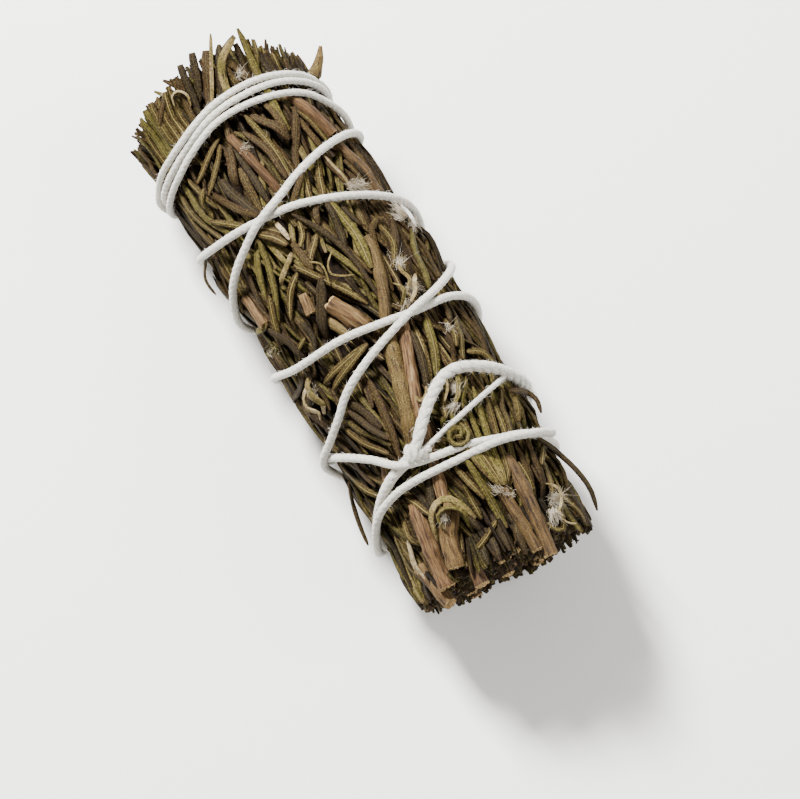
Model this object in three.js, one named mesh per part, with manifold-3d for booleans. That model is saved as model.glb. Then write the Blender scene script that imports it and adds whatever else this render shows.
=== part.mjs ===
// A rosemary smudge stick: dried rosemary sprigs pressed together into a short round bundle and bound with one
// length of white cotton string. The string climbs the bundle, turns three times round its leafy end, comes
// back down across itself and is knotted near the cut end, where its two tails are twisted together.
//
// Millimetres, +Z up. The bundle lies on its side along X, with its cut stems at +X and its leaf tips at -X.
// Its weight has pressed its underside flat. The origin is under its middle, on the surface that it lies on.
// A place on the bundle is x along it, an angle in degrees from straight up towards +Y, and a radius.
import * as THREE from 'three';
import { mergeVertices } from 'three/addons/utils/BufferGeometryUtils.js';
import Module from 'manifold-3d';

const wasm = await Module();
wasm.setup();

// Driving dimensions of the bundle
const BUNDLE_LENGTH = 100;
const HALF_LENGTH = BUNDLE_LENGTH / 2;
const MIDDLE_RADIUS = 17.2;
const END_RADIUS = 15.4;
const AXIS_HEIGHT = 16.4;
const AXIS_SIDESTEP = 0.5;
const AXIS_SWAY = 1.6; // how far the bundle's middle bows towards +Y
const TIP_END_DOME = 2.8; // how far the leafy end stands out in its middle
const CUT_END_DOME = 0.8;
const END_RAGGEDNESS = 2.5; // how much shorter than the rest a leaf or shoot may end

// Sprigs: a ring of outer ones round a few inner ones, all pressed to wedges by their neighbours
const OUTER_SPRIGS = 10;
const INNER_SPRIGS = 3;
const INNER_RADIUS = 7.2;
const INNER_TURN = 20; // degrees
const INNER_ROOM = 0.45; // the outer sprigs have flat insides, the inner ones are round
const SPRIG_GAP = 0.34;
const STATIONS = [-0.5, -0.3, -0.1, 0.1, 0.3, 0.5]; // where the joints between sprigs turn, in bundle lengths
const JOINT_WANDER = 6; // how far they wander, in degrees
const CORE_DEPTH = 2.7; // the dense inside of a sprig starts this far under the leaf tops
const CORE_INSET = 0.12;
const CORE_HALF_LENGTH = HALF_LENGTH - 4;

// Needles: narrow dried leaves that overlap like shingles. Each rises from its root in the sprig's dense inside
// towards the leafy end, so that its tip lies on top of the next ones.
const NEEDLE_LENGTH = 19;
const NEEDLE_WIDTH = 1.55;
const NEEDLE_THICKNESS = 0.75;
const NEEDLE_SIDES = 3;
const NEEDLE_SHOULDER = 0.84; // the share of its length at which a needle starts to narrow to its tip
const NEEDLE_VARIATION = 0.15;
const NEEDLE_TWIST = 18; // degrees
const ROOT_DEPTH = 4.1;
const TIP_DEPTHS = [0.1, 0.5];
const CUT_END_DEPTH = 0.9; // of a needle that runs out at the cut end
const NEEDLE_INSETS = [0.12, 0.5]; // from the joint between sprigs, at the leaf tops and at the root
const WHORL_STEP = 7.5;
const WHORL_SPREADS = [[-0.78, -0.27, 0.27, 0.78], [-0.52, 0, 0.52]]; // places across the sprig, from -1 to 1
const WHORL_HEADING = 4.2; // how far the tips of a whorl turn sideways, in millimetres
const NEEDLE_HEADING = 0.7; // and each of them by itself
const SHORTEST_NEEDLE = 5.7;

// Stubs: the ends of the leaves and shoots inside a sprig, seen in both faces of the bundle
const STUB_SPACING = 2.5;
const STUB_WIDTHS = [1.3, 2];
const STUB_INSET = 0.95;

// String
const STRING_RADIUS = 0.7;
const STRING_SIDES = 5;
const STRING_STEP = 6.4;
const STRING_GAP = 0.3; // between the string and the leaves that it presses down
const STRING_FLOOR_GAP = 0.1;
const PRESS_WIDTH = 5; // the leaves are pressed down this far to both sides of the string
const TAIL_RADIUS = 0.95;
const TAIL_STEPS = 16;
const KNOT_RADIUS = 1.35;
const KNOT_LIFT = 1.1;
const KNOT_STEPS = 20;

const SEED = 41;
const FULL_TURN = 360;

// The width and the height of a regular polygon with one corner up, where its corners are 1 from its middle
const ACROSS = { 3: 2 * Math.sin(Math.PI / 3), 4: 2 };
const TALL = { 3: 1.5, 4: 2 };

// A repeatable run of numbers from 0 to 1.
function seededRandom(seed) {
  let state = (seed * 7919 + 12345) % 2147483647;
  return () => {
    state = (state * 16807) % 2147483647;
    return state / 2147483647;
  };
}

const mix = (a, b, t) => a + (b - a) * t;
const within = (reach, random) => mix(-reach, reach, random());
const clamp = (value, low, high) => Math.min(high, Math.max(low, value));
const radians = THREE.MathUtils.degToRad;

// The bundle's own shape
const endShare = (x) => clamp(x / HALF_LENGTH, -1.1, 1.1) ** 2;
const barrelRadius = (x) => mix(MIDDLE_RADIUS, END_RADIUS, endShare(x));
const swayY = (x) => AXIS_SIDESTEP - AXIS_SWAY * endShare(x);

// How far an end of the bundle, at x < 0 or x > 0, falls back from its middle to a radius.
function endFallback(x, radius) {
  const dome = x < 0 ? TIP_END_DOME : CUT_END_DOME;
  return dome * (radius / END_RADIUS) ** 2;
}

function place(x, degrees, radius) {
  const angle = radians(degrees);
  return new THREE.Vector3(x, swayY(x) + radius * Math.sin(angle), AXIS_HEIGHT + radius * Math.cos(angle));
}

const degreesOf = THREE.MathUtils.radToDeg;
const angleOf = ({ x, y, z }) => degreesOf(Math.atan2(y - swayY(x), z - AXIS_HEIGHT));
const outward = (degrees) => new THREE.Vector3(0, Math.sin(radians(degrees)), Math.cos(radians(degrees)));

// The radius, cut short where it would come lower than a height above the surface.
function aboveFloor(degrees, radius, height) {
  const down = -Math.cos(radians(degrees));
  return down > 0.1 ? Math.min(radius, (AXIS_HEIGHT - height) / down) : radius;
}

// The string's route, as x and total angle: it winds one way all along, up the bundle and back down.
const KNOT = [25.2, -22];
const STRING_ROUTE = [
  KNOT,
  [25.4, -38], [26.4, -54], [28.4, -72], [30.6, -91], [31.7, -115], [32.5, -140], [32.9, -180], [33.0, -220],
  [32.8, -260], [32.2, -291], [30.7, -312], [29.8, -334], [28.2, -358], [27.3, -374], [25.6, -391],
  [21.2, -408], [17.6, -427], [15.2, -449], [13.4, -490], [11.6, -530], [9.9, -570], [7.6, -610],
  [5.6, -645], [4.9, -672], [5.1, -697], [4.4, -720], [3.1, -743], [1.8, -777], [-1.2, -811],
  [-2.6, -845], [-4.0, -880], [-5.2, -920], [-7.6, -950], [-10.6, -980], [-13.4, -1008], [-15.3, -1035],
  [-17.8, -1063], [-20.0, -1087], [-21.4, -1112], [-23.0, -1143], [-24.8, -1171], [-27.0, -1215],
  [-28.4, -1260], [-29.6, -1305], [-31.4, -1345], [-34.2, -1375], [-36.9, -1395], [-38.2, -1416],
  [-38.9, -1440], [-38.7, -1458], [-37.2, -1478], [-35.6, -1500], [-34.7, -1530], [-35.2, -1575],
  [-35.4, -1620], [-35.6, -1665], [-36.6, -1705], [-38.8, -1742], [-40.2, -1768], [-40.5, -1794],
  [-40.2, -1812], [-38.9, -1834], [-37.3, -1858], [-36.5, -1890], [-36.8, -1935], [-37.0, -1980],
  [-37.2, -2025], [-38.0, -2070], [-40.3, -2100], [-41.7, -2130], [-42.0, -2150], [-41.6, -2170],
  [-40.5, -2186], [-39.3, -2205], [-38.5, -2235], [-36.9, -2268], [-34.6, -2290], [-33.2, -2320],
  [-32.4, -2350], [-31.4, -2375], [-29.8, -2400], [-28.8, -2430], [-28.0, -2462], [-26.4, -2490],
  [-24.2, -2514], [-21.8, -2534], [-19.4, -2558], [-16.4, -2585], [-13.2, -2611], [-11.9, -2645],
  [-10.6, -2680], [-9.4, -2720], [-7.0, -2750], [-4.0, -2780], [-0.9, -2806], [2.9, -2839],
  [5.6, -2868], [7.8, -2892], [10.4, -2916], [13.4, -2936], [15.9, -2971], [17.8, -3010], [20.4, -3050],
  [23.4, -3090], [27.6, -3130], [31.2, -3165], [31.6, -3192], [30.6, -3218], [29.9, -3246], [29.4, -3274],
  [30.2, -3301], [32.2, -3331], [31.4, -3355], [29.8, -3380], [27.6, -3410], [25.4, -3440],
  [23.2, -3480], [21.0, -3515], [20.0, -3538], [21.6, -3560], [23.6, -3589], [25.0, -3613],
];
// The two tails, twisted together: they arch loosely from the knot over the +Y side, and a number lifts them.
const TAIL_ROUTE = [
  [25.2, -20, 1.2], [23.4, -14, 1.2], [21.2, -7, 0.9], [18.4, 3, 0.6], [16.2, 14, 0.5], [15.8, 24, 0.5],
  [16.9, 38, 0.5], [18.8, 53, 0.4], [21.6, 68, 0.3], [23.4, 86, 0.2], [24.8, 104, 0.1], [25.8, 118, 0],
];

function stringRadius(x, degrees, lift = 0) {
  return aboveFloor(degrees, barrelRadius(x), STRING_FLOOR_GAP + STRING_RADIUS) + lift;
}

class BundleCurve extends THREE.Curve {
  // A smooth curve wound on the bundle through places given as x, angle and lift.
  constructor(route) {
    super();
    const turns = route.map(([x, degrees, lift = 0]) => new THREE.Vector3(x, degrees / FULL_TURN, lift));
    this.turns = new THREE.CatmullRomCurve3(turns, false, 'catmullrom', 0.5);
  }

  getPoint(t, target = new THREE.Vector3()) {
    const { x, y, z } = this.turns.getPoint(t);
    const degrees = y * FULL_TURN;
    return target.copy(place(x, degrees, stringRadius(x, degrees, z)));
  }
}

const stringCurve = new BundleCurve(STRING_ROUTE);
const tailCurve = new BundleCurve(TAIL_ROUTE);
const stringSteps = Math.round(stringCurve.getLength() / STRING_STEP);
const pressed = stringCurve.getSpacedPoints(stringSteps * 3);

// How much the string presses the leaves down at a place, from 0 to 1.
function pressAt(point) {
  const nearest = Math.min(...pressed.map((p) => p.distanceToSquared(point)));
  return Math.exp(-nearest / PRESS_WIDTH ** 2);
}

// The radius of the leaf tops: they bulge between the turns of string and give way under them.
function leafRadius(x, degrees) {
  const free = aboveFloor(degrees, barrelRadius(x), 0);
  const under = stringRadius(x, degrees) - STRING_RADIUS - STRING_GAP;
  return mix(free, under, pressAt(place(x, degrees, free)));
}

// Solids
function solidOf(positions, indices) {
  const solid = new wasm.Manifold(
    new wasm.Mesh({
      numProp: 3,
      vertProperties: new Float32Array(positions),
      triVerts: new Uint32Array(indices),
    }),
  );
  if (solid.volume() <= 0) throw new Error('a solid is inside out');
  return solid;
}

// A solid through convex rings of points, all with the same count, or with one point where it ends in a tip.
function ringsSolid(rings) {
  const starts = rings.map((_, i) => rings.slice(0, i).flat().length);
  const faces = [];
  for (let i = 0; i + 1 < rings.length; i++) {
    const [a, b] = [starts[i], starts[i + 1]];
    const [m, n] = [rings[i].length, rings[i + 1].length];
    for (let j = 0; j < Math.max(m, n); j++) {
      const k = j + 1;
      if (m > 1) faces.push([a + (j % m), a + (k % m), b + (k % n)]);
      if (n > 1) faces.push([a + (j % m), b + (k % n), b + (j % n)]);
    }
  }
  const last = starts.at(-1);
  for (let j = 1; j + 1 < rings[0].length; j++) faces.push([0, j + 1, j]);
  for (let j = 1; j + 1 < rings.at(-1).length; j++) faces.push([last, last + j, last + j + 1]);
  return solidOf(rings.flat().flatMap((point) => point.toArray()), faces.flat());
}

// A shoot or leaf through a few points, with one of its edges turned outwards. A width of 0 makes a tip.
function shoot(points, out, widths, thicknesses, sides = NEEDLE_SIDES) {
  const last = points.length - 1;
  const rings = points.map((point, i) => {
    if (!widths[i]) return [point];
    const along = points[Math.min(i + 1, last)].clone().sub(points[Math.max(i - 1, 0)]).normalize();
    const side = along.clone().cross(out).normalize();
    const up = side.clone().cross(along);
    return Array.from({ length: sides }, (_, j) => {
      const angle = (j / sides) * Math.PI * 2;
      return point
        .clone()
        .addScaledVector(side, (Math.sin(angle) * widths[i]) / ACROSS[sides])
        .addScaledVector(up, (Math.cos(angle) * thicknesses[i]) / TALL[sides]);
    });
  });
  return ringsSolid(rings);
}

// A tube of string along a curve.
function stringTube(curve, steps, radius) {
  const corners = Array.from({ length: STRING_SIDES }, (_, i) => (i / STRING_SIDES) * Math.PI * 2);
  const section = corners.map((a) => new THREE.Vector2(radius * Math.cos(a), radius * Math.sin(a)));
  const geometry = new THREE.ExtrudeGeometry(new THREE.Shape(section), { steps, extrudePath: curve });
  geometry.deleteAttribute('normal');
  geometry.deleteAttribute('uv');
  const merged = mergeVertices(geometry, 1e-4);
  return solidOf(merged.attributes.position.array, merged.index.array);
}

function join(solids) {
  return wasm.Manifold.union(solids);
}

// The largest body of a solid: loose scraps are dropped.
function wholeBody(solid) {
  return solid.decompose().reduce((a, b) => (b.volume() > a.volume() ? b : a));
}

// Sectors: where one outer sprig ends and the next begins
const sectorStep = FULL_TURN / OUTER_SPRIGS;
const halfSectorMm = radians(sectorStep / 2) * MIDDLE_RADIUS;

const wander = Array.from({ length: OUTER_SPRIGS }, (_, i) => {
  const random = seededRandom(SEED * 3 + i);
  return STATIONS.map(() => within(JOINT_WANDER, random));
});

function sectorEdge(index, x) {
  const offsets = wander[index % OUTER_SPRIGS];
  const along = x / BUNDLE_LENGTH;
  const before = clamp(STATIONS.findLastIndex((station) => station <= along), 0, STATIONS.length - 2);
  const [from, to] = [STATIONS[before], STATIONS[before + 1]];
  const share = (along - from) / (to - from);
  return (index - 0.5) * sectorStep + mix(offsets[before], offsets[before + 1], share);
}

// The angle at a share u from -1 to 1 across a sprig's sector, kept off both edges by a width in millimetres.
function sectorAngle(index, x, u, radius, keepOff) {
  const low = sectorEdge(index, x);
  const high = sectorEdge(index + 1, x);
  const margin = degreesOf((SPRIG_GAP / 2 + keepOff) / radius);
  return clamp(mix(low, high, (u + 1) / 2), low + margin, high - margin);
}

// The places along the bundle of the rings of a solid that follows the joints, from +X to -X
function stationsTo(halfLength) {
  const turns = STATIONS.slice(1, -1).map((station) => station * BUNDLE_LENGTH);
  const inside = [-CORE_HALF_LENGTH, ...turns, CORE_HALF_LENGTH].filter((x) => Math.abs(x) < halfLength);
  return [-halfLength, ...inside, halfLength].reverse();
}

// A wedge of the bundle with its sector's wandering sides, from a radius to a depth under the leaf tops.
function wedge(index, innerRadius, depth, halfLength, inset) {
  const corners = [[-1, 0], [-1, 1], [-0.36, 1], [0.36, 1], [1, 1], [1, 0]];
  const rings = stationsTo(halfLength).map((x) =>
    corners.map(([u, rise]) => {
      const top = sectorAngle(index, x, u, MIDDLE_RADIUS, inset);
      const radius = mix(innerRadius, aboveFloor(top, barrelRadius(x), 0) - depth, rise);
      return place(x, sectorAngle(index, x, u, radius, inset), radius);
    }),
  );
  return ringsSolid(rings);
}

// A leaf of a sprig, from its root to its tip. The bundle's ends cut some: one that would pass the leafy end is
// trimmed there, and one whose root would lie past the cut end runs out through it.
function needle(index, random, tipX, u, whorlTurn) {
  const length = NEEDLE_LENGTH * (1 + within(NEEDLE_VARIATION, random));
  const width = NEEDLE_WIDTH * (1 + within(NEEDLE_VARIATION, random));
  const turn = (whorlTurn * WHORL_HEADING + within(NEEDLE_HEADING, random)) / halfSectorMm;
  const tipDepth = mix(...TIP_DEPTHS, random());
  const ragged = random() * END_RAGGEDNESS;
  const cutFace = HALF_LENGTH - endFallback(1, END_RADIUS) - ragged;
  const tipFace = -HALF_LENGTH + endFallback(-1, END_RADIUS) + ragged;
  const isCut = tipX + length > cutFace + 5;
  const isTrimmed = tipX < tipFace;
  const rootX = Math.min(tipX + length, cutFace);
  const endX = Math.max(tipX, tipFace);
  if (rootX - endX < SHORTEST_NEEDLE) return null;

  const shareAt = (x) => clamp((x - tipX) / length, 0, 1);
  const depthAt = (x) => mix(tipDepth, ROOT_DEPTH, shareAt(x));
  const at = (x, depth) => {
    const keepOff = width / 2 + mix(...NEEDLE_INSETS, depth / ROOT_DEPTH);
    const degrees = sectorAngle(index, x, u + turn * (1 - shareAt(x)), MIDDLE_RADIUS - depth, keepOff);
    return place(x, degrees, leafRadius(x, degrees) - depth);
  };
  const middle = at((rootX + endX) / 2, tipDepth);
  const out = outward(angleOf(middle) + within(NEEDLE_TWIST, random));
  const thickness = NEEDLE_THICKNESS;
  if (isCut) {
    const [root, end] = [at(endX, ROOT_DEPTH), at(rootX, CUT_END_DEPTH)];
    return { root, end, solid: () => shoot([end, root], out, [width, width], [thickness, thickness]) };
  }
  const [root, end] = [at(rootX, ROOT_DEPTH), at(endX, depthAt(endX))];
  if (isTrimmed) {
    return { root, end, solid: () => shoot([root, end], out, [width, width], [thickness, thickness]) };
  }
  const shoulderX = mix(rootX, endX, NEEDLE_SHOULDER);
  const points = [root, at(shoulderX, depthAt(shoulderX)), end];
  return { root, end, solid: () => shoot(points, out, [width * 0.8, width, 0], [thickness, thickness, 0]) };
}

// The leaves of a sprig in whorls along it, apart from those that a stem covers.
function needles(index, random, isCovered) {
  const made = [];
  const spreads = index === REST_SPRIG ? REST_SPREADS : WHORL_SPREADS;
  let whorl = 0;
  for (let x = HALF_LENGTH - 6; x > -HALF_LENGTH - 9; x -= WHORL_STEP) {
    const whorlTurn = within(1, random);
    for (const u of spreads[(whorl + index) % 2]) {
      made.push(needle(index, random, x + within(1, random), u + within(0.07, random), whorlTurn));
    }
    whorl += 1;
  }
  return made.filter((leaf) => leaf && !isCovered(leaf.end, leaf.root)).map((leaf) => leaf.solid());
}

// Stubs in rings between two radii, at both ends. edges gives the angles that they stay between.
function stubs(random, innerRadius, outerRadius, edges) {
  const made = [];
  const rings = Math.max(1, Math.round((outerRadius - innerRadius) / STUB_SPACING));
  for (const end of [-1, 1]) {
    for (let ring = 0; ring < rings; ring++) {
      const radius = mix(innerRadius, outerRadius, (ring + 0.5) / rings);
      const [low, high] = edges(end * HALF_LENGTH, radius);
      const count = Math.max(1, Math.round((radians(high - low) * radius) / STUB_SPACING + 0.3));
      for (let j = 0; j < count; j++) {
        const width = mix(...STUB_WIDTHS, random());
        const degrees = mix(low, high, (j + 0.5 + within(0.15, random)) / count);
        const reach = HALF_LENGTH - endFallback(end, radius) - random() * END_RAGGEDNESS;
        const points = [CORE_HALF_LENGTH - 1.5, reach].map((x) => place(end * x, degrees, radius));
        made.push(shoot(points, outward(degrees + random() * 120), [width, width], [width, width]));
      }
    }
  }
  return made;
}

// Woody stems that show, by sprig. A route holds x, the place across the sprig and the depth under the leaf tops.
const STEM_SIDES = 4;
const STEM_CLEARANCE = 0.5;
const STEMS = {
  0: [
    { diameter: 2.3, route: [[49.6, 0.35, 1.5], [37, 0.45, 0.8], [29, 0.4, 3.8]] },
    { diameter: 2.5, route: [[24, -0.5, 3.9], [17, -0.25, 0.9], [8, 0.2, 0.8], [-3, 0.6, 0.9], [-10, 0.5, 4]] },
    { diameter: 3.0, route: [[-3.4, -0.5, 0.9], [3, -0.2, 1.1], [9, 0, 4.6]] },
  ],
  1: [
    { diameter: 2.4, route: [[50, -0.7, 1.3], [38, -0.6, 0.9], [30, -0.5, 3.8]] },
    { diameter: 1.9, route: [[-26, 0.1, 3.6], [-31, -0.1, 0.8], [-39, -0.2, 3.6]] },
  ],
  2: [{ diameter: 2.2, route: [[49, -0.2, 2.2], [36, 0, 4.2]] }],
  3: [{ diameter: 2.4, route: [[49, 0.1, 1.6], [34, 0.2, 0.9], [20, 0.1, 4.2]] }],
  4: [{ diameter: 2.2, route: [[12, 0.3, 4.2], [2, 0.2, 0.9], [-12, -0.1, 0.9], [-20, -0.2, 4.2]] }],
  5: [{ diameter: 2.3, route: [[49, 0.1, 3.4], [38, 0, 4.4]] }],
  6: [{ diameter: 2.6, route: [[49.5, -0.1, 1.4], [36, 0.2, 0.9], [22, 0.3, 4.2]] }],
  7: [{ diameter: 2.1, route: [[6, 0.2, 4.2], [-4, 0.1, 0.9], [-14, -0.1, 4.2]] }],
  8: [
    { diameter: 2.2, route: [[-1, 0.35, 3.6], [-6, 0.3, 0.8], [-14, 0, 0.8], [-20, -0.2, 3.8]] },
    { diameter: 2.2, route: [[48.5, 0.1, 1.8], [37, 0.2, 4]] },
  ],
  9: [
    { diameter: 2.6, route: [[46, -0.5, 1.1], [33, -0.4, 0.9], [25, -0.2, 3.8]] },
    { diameter: 2.7, route: [[44.6, 0.2, 0.9], [37, 0.5, 0.9], [29, 0.6, 3.8]] },
    { diameter: 1.9, route: [[-19, 0.8, 3.6], [-23.5, 0.78, 0.8], [-36.5, 0.72, 0.8], [-41, 0.7, 3.4]] },
  ],
};

function stemPoints(index, { diameter, route }) {
  return route.map(([x, u, depth]) => {
    const degrees = sectorAngle(index, x, u, MIDDLE_RADIUS - 2, diameter / 2 + NEEDLE_INSETS[0]);
    return place(x, degrees, leafRadius(x, degrees) - depth - diameter / 5);
  });
}

// A test of whether a stem of a sprig covers the half of a leaf that shows.
function stemCover(index) {
  const stems = (STEMS[index] ?? []).map((entry) => ({
    reach: entry.diameter / 2 + STEM_CLEARANCE,
    samples: new THREE.CatmullRomCurve3(stemPoints(index, entry), false, 'chordal').getSpacedPoints(30),
  }));
  return (tip, root) => {
    const shown = [0.05, 0.2, 0.35, 0.5].map((t) => tip.clone().lerp(root, t));
    return stems.some(({ reach, samples }) => samples.some((s) => shown.some((p) => p.distanceTo(s) < reach)));
  };
}

function stem(index, entry) {
  const points = stemPoints(index, entry);
  const widths = points.map(() => entry.diameter);
  return shoot(points, outward(angleOf(points[0])), widths, widths, STEM_SIDES);
}

// Leaves that stand off the bundle, by sprig, as places of x, angle and height over the leaf tops
const STRAY_LEAVES = {
  2: [
    [[31, 76, -3.2], [39, 77, 0.1], [46.4, 76, 1.6]],
    [[-37.5, 78, -3.4], [-41.6, 77, 1.4], [-44.4, 76, 4.4]],
  ],
  7: [[[20, -95, -3.2], [25.5, -94, 0.4], [30.6, -93, 2.4]]],
};

function strayLeaf(route) {
  const points = route.map(([x, degrees, height]) => place(x, degrees, leafRadius(x, degrees) + height));
  const widths = [NEEDLE_WIDTH, NEEDLE_WIDTH, NEEDLE_WIDTH * 0.6];
  return shoot(points, outward(0), widths, widths.map((width) => width / 2));
}

// The leaves that the bundle lies on, pressed flat between the turns of string, from one x to another
const REST_WINDOWS = [[-46, -39.3], [-26.6, -12.4], [-2.7, 8.4], [34.7, 46.5]];
const REST_SPRIG = OUTER_SPRIGS / 2;
const REST_LEAVES_ABREAST = 4;
const REST_LEAF_PITCH = 1.8;
const REST_LEAF_ROOT_HEIGHT = 3.9;
const REST_SPREADS = [[-0.8, 0.8], [-0.8, 0.8]]; // the other leaves of that sprig lie to both sides

function restLeaves(random) {
  return REST_WINDOWS.flatMap(([from, to]) =>
    Array.from({ length: REST_LEAVES_ABREAST }, (_, i) => {
      const across = (i - (REST_LEAVES_ABREAST - 1) / 2) * REST_LEAF_PITCH;
      const section = (x, z, width, height) => {
        const { y } = place(x, sectorAngle(REST_SPRIG, x, 0, MIDDLE_RADIUS, 0), AXIS_HEIGHT);
        return [[-0.5, 0], [0, 1], [0.5, 0]].map(([side, up]) => {
          return new THREE.Vector3(x, y + across + side * width, z + up * height);
        });
      };
      const tipX = from + random() * 1.6;
      const bendX = to - random() * 1.6;
      const [tip] = section(tipX, 0.1, 0, 0);
      return ringsSolid([
        section(bendX + 3, REST_LEAF_ROOT_HEIGHT, NEEDLE_WIDTH * 0.8, NEEDLE_THICKNESS),
        section(bendX, 0, NEEDLE_WIDTH, NEEDLE_THICKNESS),
        section(tipX + 2.4, 0, NEEDLE_WIDTH, NEEDLE_THICKNESS),
        [tip],
      ]);
    }),
  );
}

function outerSprig(index, stringRoom) {
  const random = seededRandom(SEED + index);
  const innerRadius = INNER_RADIUS + SPRIG_GAP + INNER_ROOM;
  const coreTop = MIDDLE_RADIUS - CORE_DEPTH;
  const edges = (x, radius) => [-1, 1].map((u) => sectorAngle(index, x, u, radius, STUB_INSET));
  const grown = join([
    wedge(index, innerRadius, CORE_DEPTH, CORE_HALF_LENGTH, CORE_INSET),
    ...needles(index, random, stemCover(index)),
    ...stubs(random, innerRadius + 0.8, coreTop - 2.6, edges),
    ...(STEMS[index] ?? []).map((entry) => stem(index, entry)),
    ...(STRAY_LEAVES[index] ?? []).map(strayLeaf),
    ...(index === REST_SPRIG ? restLeaves(random) : []),
  ]);
  const room = wedge(index, innerRadius - SPRIG_GAP / 2, -9, HALF_LENGTH + 2, 0);
  return wholeBody(grown.intersect(room).subtract(stringRoom));
}

function innerSprig(index) {
  const random = seededRandom(SEED + OUTER_SPRIGS + index);
  const third = FULL_TURN / INNER_SPRIGS;
  const edges = (x, radius, inset = STUB_INSET) => {
    const margin = degreesOf((SPRIG_GAP / 2 + inset) / radius);
    return [index * third + INNER_TURN + margin, (index + 1) * third + INNER_TURN - margin];
  };
  const [low, high] = edges(0, INNER_RADIUS, 0);
  const rings = stationsTo(CORE_HALF_LENGTH).map((x) => [
    place(x, (low + high) / 2, SPRIG_GAP),
    ...[0, 0.25, 0.5, 0.75, 1].map((t) => place(x, mix(low, high, t), INNER_RADIUS)),
  ]);
  return wholeBody(join([ringsSolid(rings), ...stubs(random, 1.6, INNER_RADIUS - 0.6, edges)]));
}

// The knot: the string turned twice round itself and pulled tight
function knot() {
  const [x, degrees] = KNOT;
  const centre = place(x, degrees, stringRadius(x, degrees, KNOT_LIFT));
  const out = outward(degrees);
  const along = new THREE.Vector3(0.8, 0.6 * out.z, -0.6 * out.y);
  const side = along.clone().cross(out);
  const points = Array.from({ length: 13 }, (_, i) => {
    const turn = (i / 12) * Math.PI * 4;
    return centre
      .clone()
      .addScaledVector(along, KNOT_RADIUS * Math.cos(turn) * 0.8)
      .addScaledVector(side, KNOT_RADIUS * Math.sin(turn))
      .addScaledVector(out, (i / 12 - 0.5) * 1.6);
  });
  return stringTube(new THREE.CatmullRomCurve3(points), KNOT_STEPS, STRING_RADIUS);
}

function stringAndTails(extraRadius) {
  return [
    stringTube(stringCurve, stringSteps, STRING_RADIUS + extraRadius),
    stringTube(tailCurve, TAIL_STEPS, TAIL_RADIUS + extraRadius),
  ];
}

// Materials
const finish = (color, roughness) => new THREE.MeshStandardMaterial({ color, roughness, metalness: 0 });
const greenLeaf = finish(0x6d6a38, 0.85);
const oliveLeaf = finish(0x655836, 0.88);
const brownLeaf = finish(0x58422c, 0.9);
const cotton = finish(0xdcdad4, 0.95);
const leafFinishes = [oliveLeaf, greenLeaf, brownLeaf];

function meshOf(name, solid, material) {
  const made = solid.getMesh();
  const geometry = new THREE.BufferGeometry();
  geometry.setAttribute('position', new THREE.BufferAttribute(new Float32Array(made.vertProperties), 3));
  geometry.setIndex(new THREE.BufferAttribute(new Uint32Array(made.triVerts), 1));
  geometry.computeVertexNormals();
  const mesh = new THREE.Mesh(geometry, material);
  mesh.name = name;
  return mesh;
}

const twoDigits = (n) => String(n).padStart(2, '0');
const bundle = new THREE.Group();
bundle.name = 'rosemary_smudge_stick';

const stringRoom = join(stringAndTails(STRING_GAP - 0.02));
for (let i = 0; i < OUTER_SPRIGS; i++) {
  const name = `rosemary_sprig_${twoDigits(i + 1)}`;
  bundle.add(meshOf(name, outerSprig(i, stringRoom), leafFinishes[i % leafFinishes.length]));
}
for (let i = 0; i < INNER_SPRIGS; i++) {
  const name = `rosemary_sprig_${twoDigits(OUTER_SPRIGS + i + 1)}`;
  bundle.add(meshOf(name, innerSprig(i), brownLeaf));
}
bundle.add(meshOf('cotton_string', wholeBody(join([...stringAndTails(0), knot()])), cotton));

export default bundle;
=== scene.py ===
"""A rosemary smudge stick: dried rosemary sprigs pressed into a short round bundle, bound with cotton string.

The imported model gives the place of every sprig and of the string. Here each sprig is made again with its
needles, stems and cut ends, and the string with its twisted plies, knot and fibres. Sizes are in millimetres
until a mesh is made. A place on the bundle is x along it, an angle in degrees from straight up towards +Y,
and a height over or under the tops of the leaves.
"""
import math

import bmesh
import bpy
import numpy as np
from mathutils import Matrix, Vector


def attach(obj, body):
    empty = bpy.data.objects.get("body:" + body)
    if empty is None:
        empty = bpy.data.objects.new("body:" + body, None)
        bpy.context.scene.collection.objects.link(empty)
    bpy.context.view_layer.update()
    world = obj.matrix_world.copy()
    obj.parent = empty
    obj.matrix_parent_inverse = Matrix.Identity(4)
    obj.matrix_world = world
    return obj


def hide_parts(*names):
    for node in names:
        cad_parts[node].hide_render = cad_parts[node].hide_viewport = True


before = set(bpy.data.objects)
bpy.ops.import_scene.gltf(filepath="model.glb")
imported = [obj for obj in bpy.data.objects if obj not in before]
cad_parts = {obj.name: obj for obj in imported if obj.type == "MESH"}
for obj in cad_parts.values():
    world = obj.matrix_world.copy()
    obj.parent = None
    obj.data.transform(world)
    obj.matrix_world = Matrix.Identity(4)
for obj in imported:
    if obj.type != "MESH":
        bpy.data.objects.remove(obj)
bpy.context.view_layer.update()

MM = 0.001

# The bundle, as in the model
HALF_LENGTH = 50
MIDDLE_RADIUS = 17.2
END_RADIUS = 15.4
AXIS_HEIGHT = 16.4
AXIS_SIDESTEP = 0.5
AXIS_SWAY = 1.6
TIP_FLARE = 0.17  # how much the leaf tips spread for each millimetre beyond the last turns of string
FLARE_FROM = -41
END_RAGGEDNESS = 2.2
OUTER_SPRIGS = 10
SECTOR = 360 / OUTER_SPRIGS
INNER_SPRIGS = 3
THIRD = 360 / INNER_SPRIGS
INNER_RADIUS = 7.2
INNER_TURN = 20
SHELL_DEPTH = 3.9  # how thick the leaves lie over the dense inside of the sprigs
LEVEL = 0.1  # sides that face down less than this never reach the floor

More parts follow.
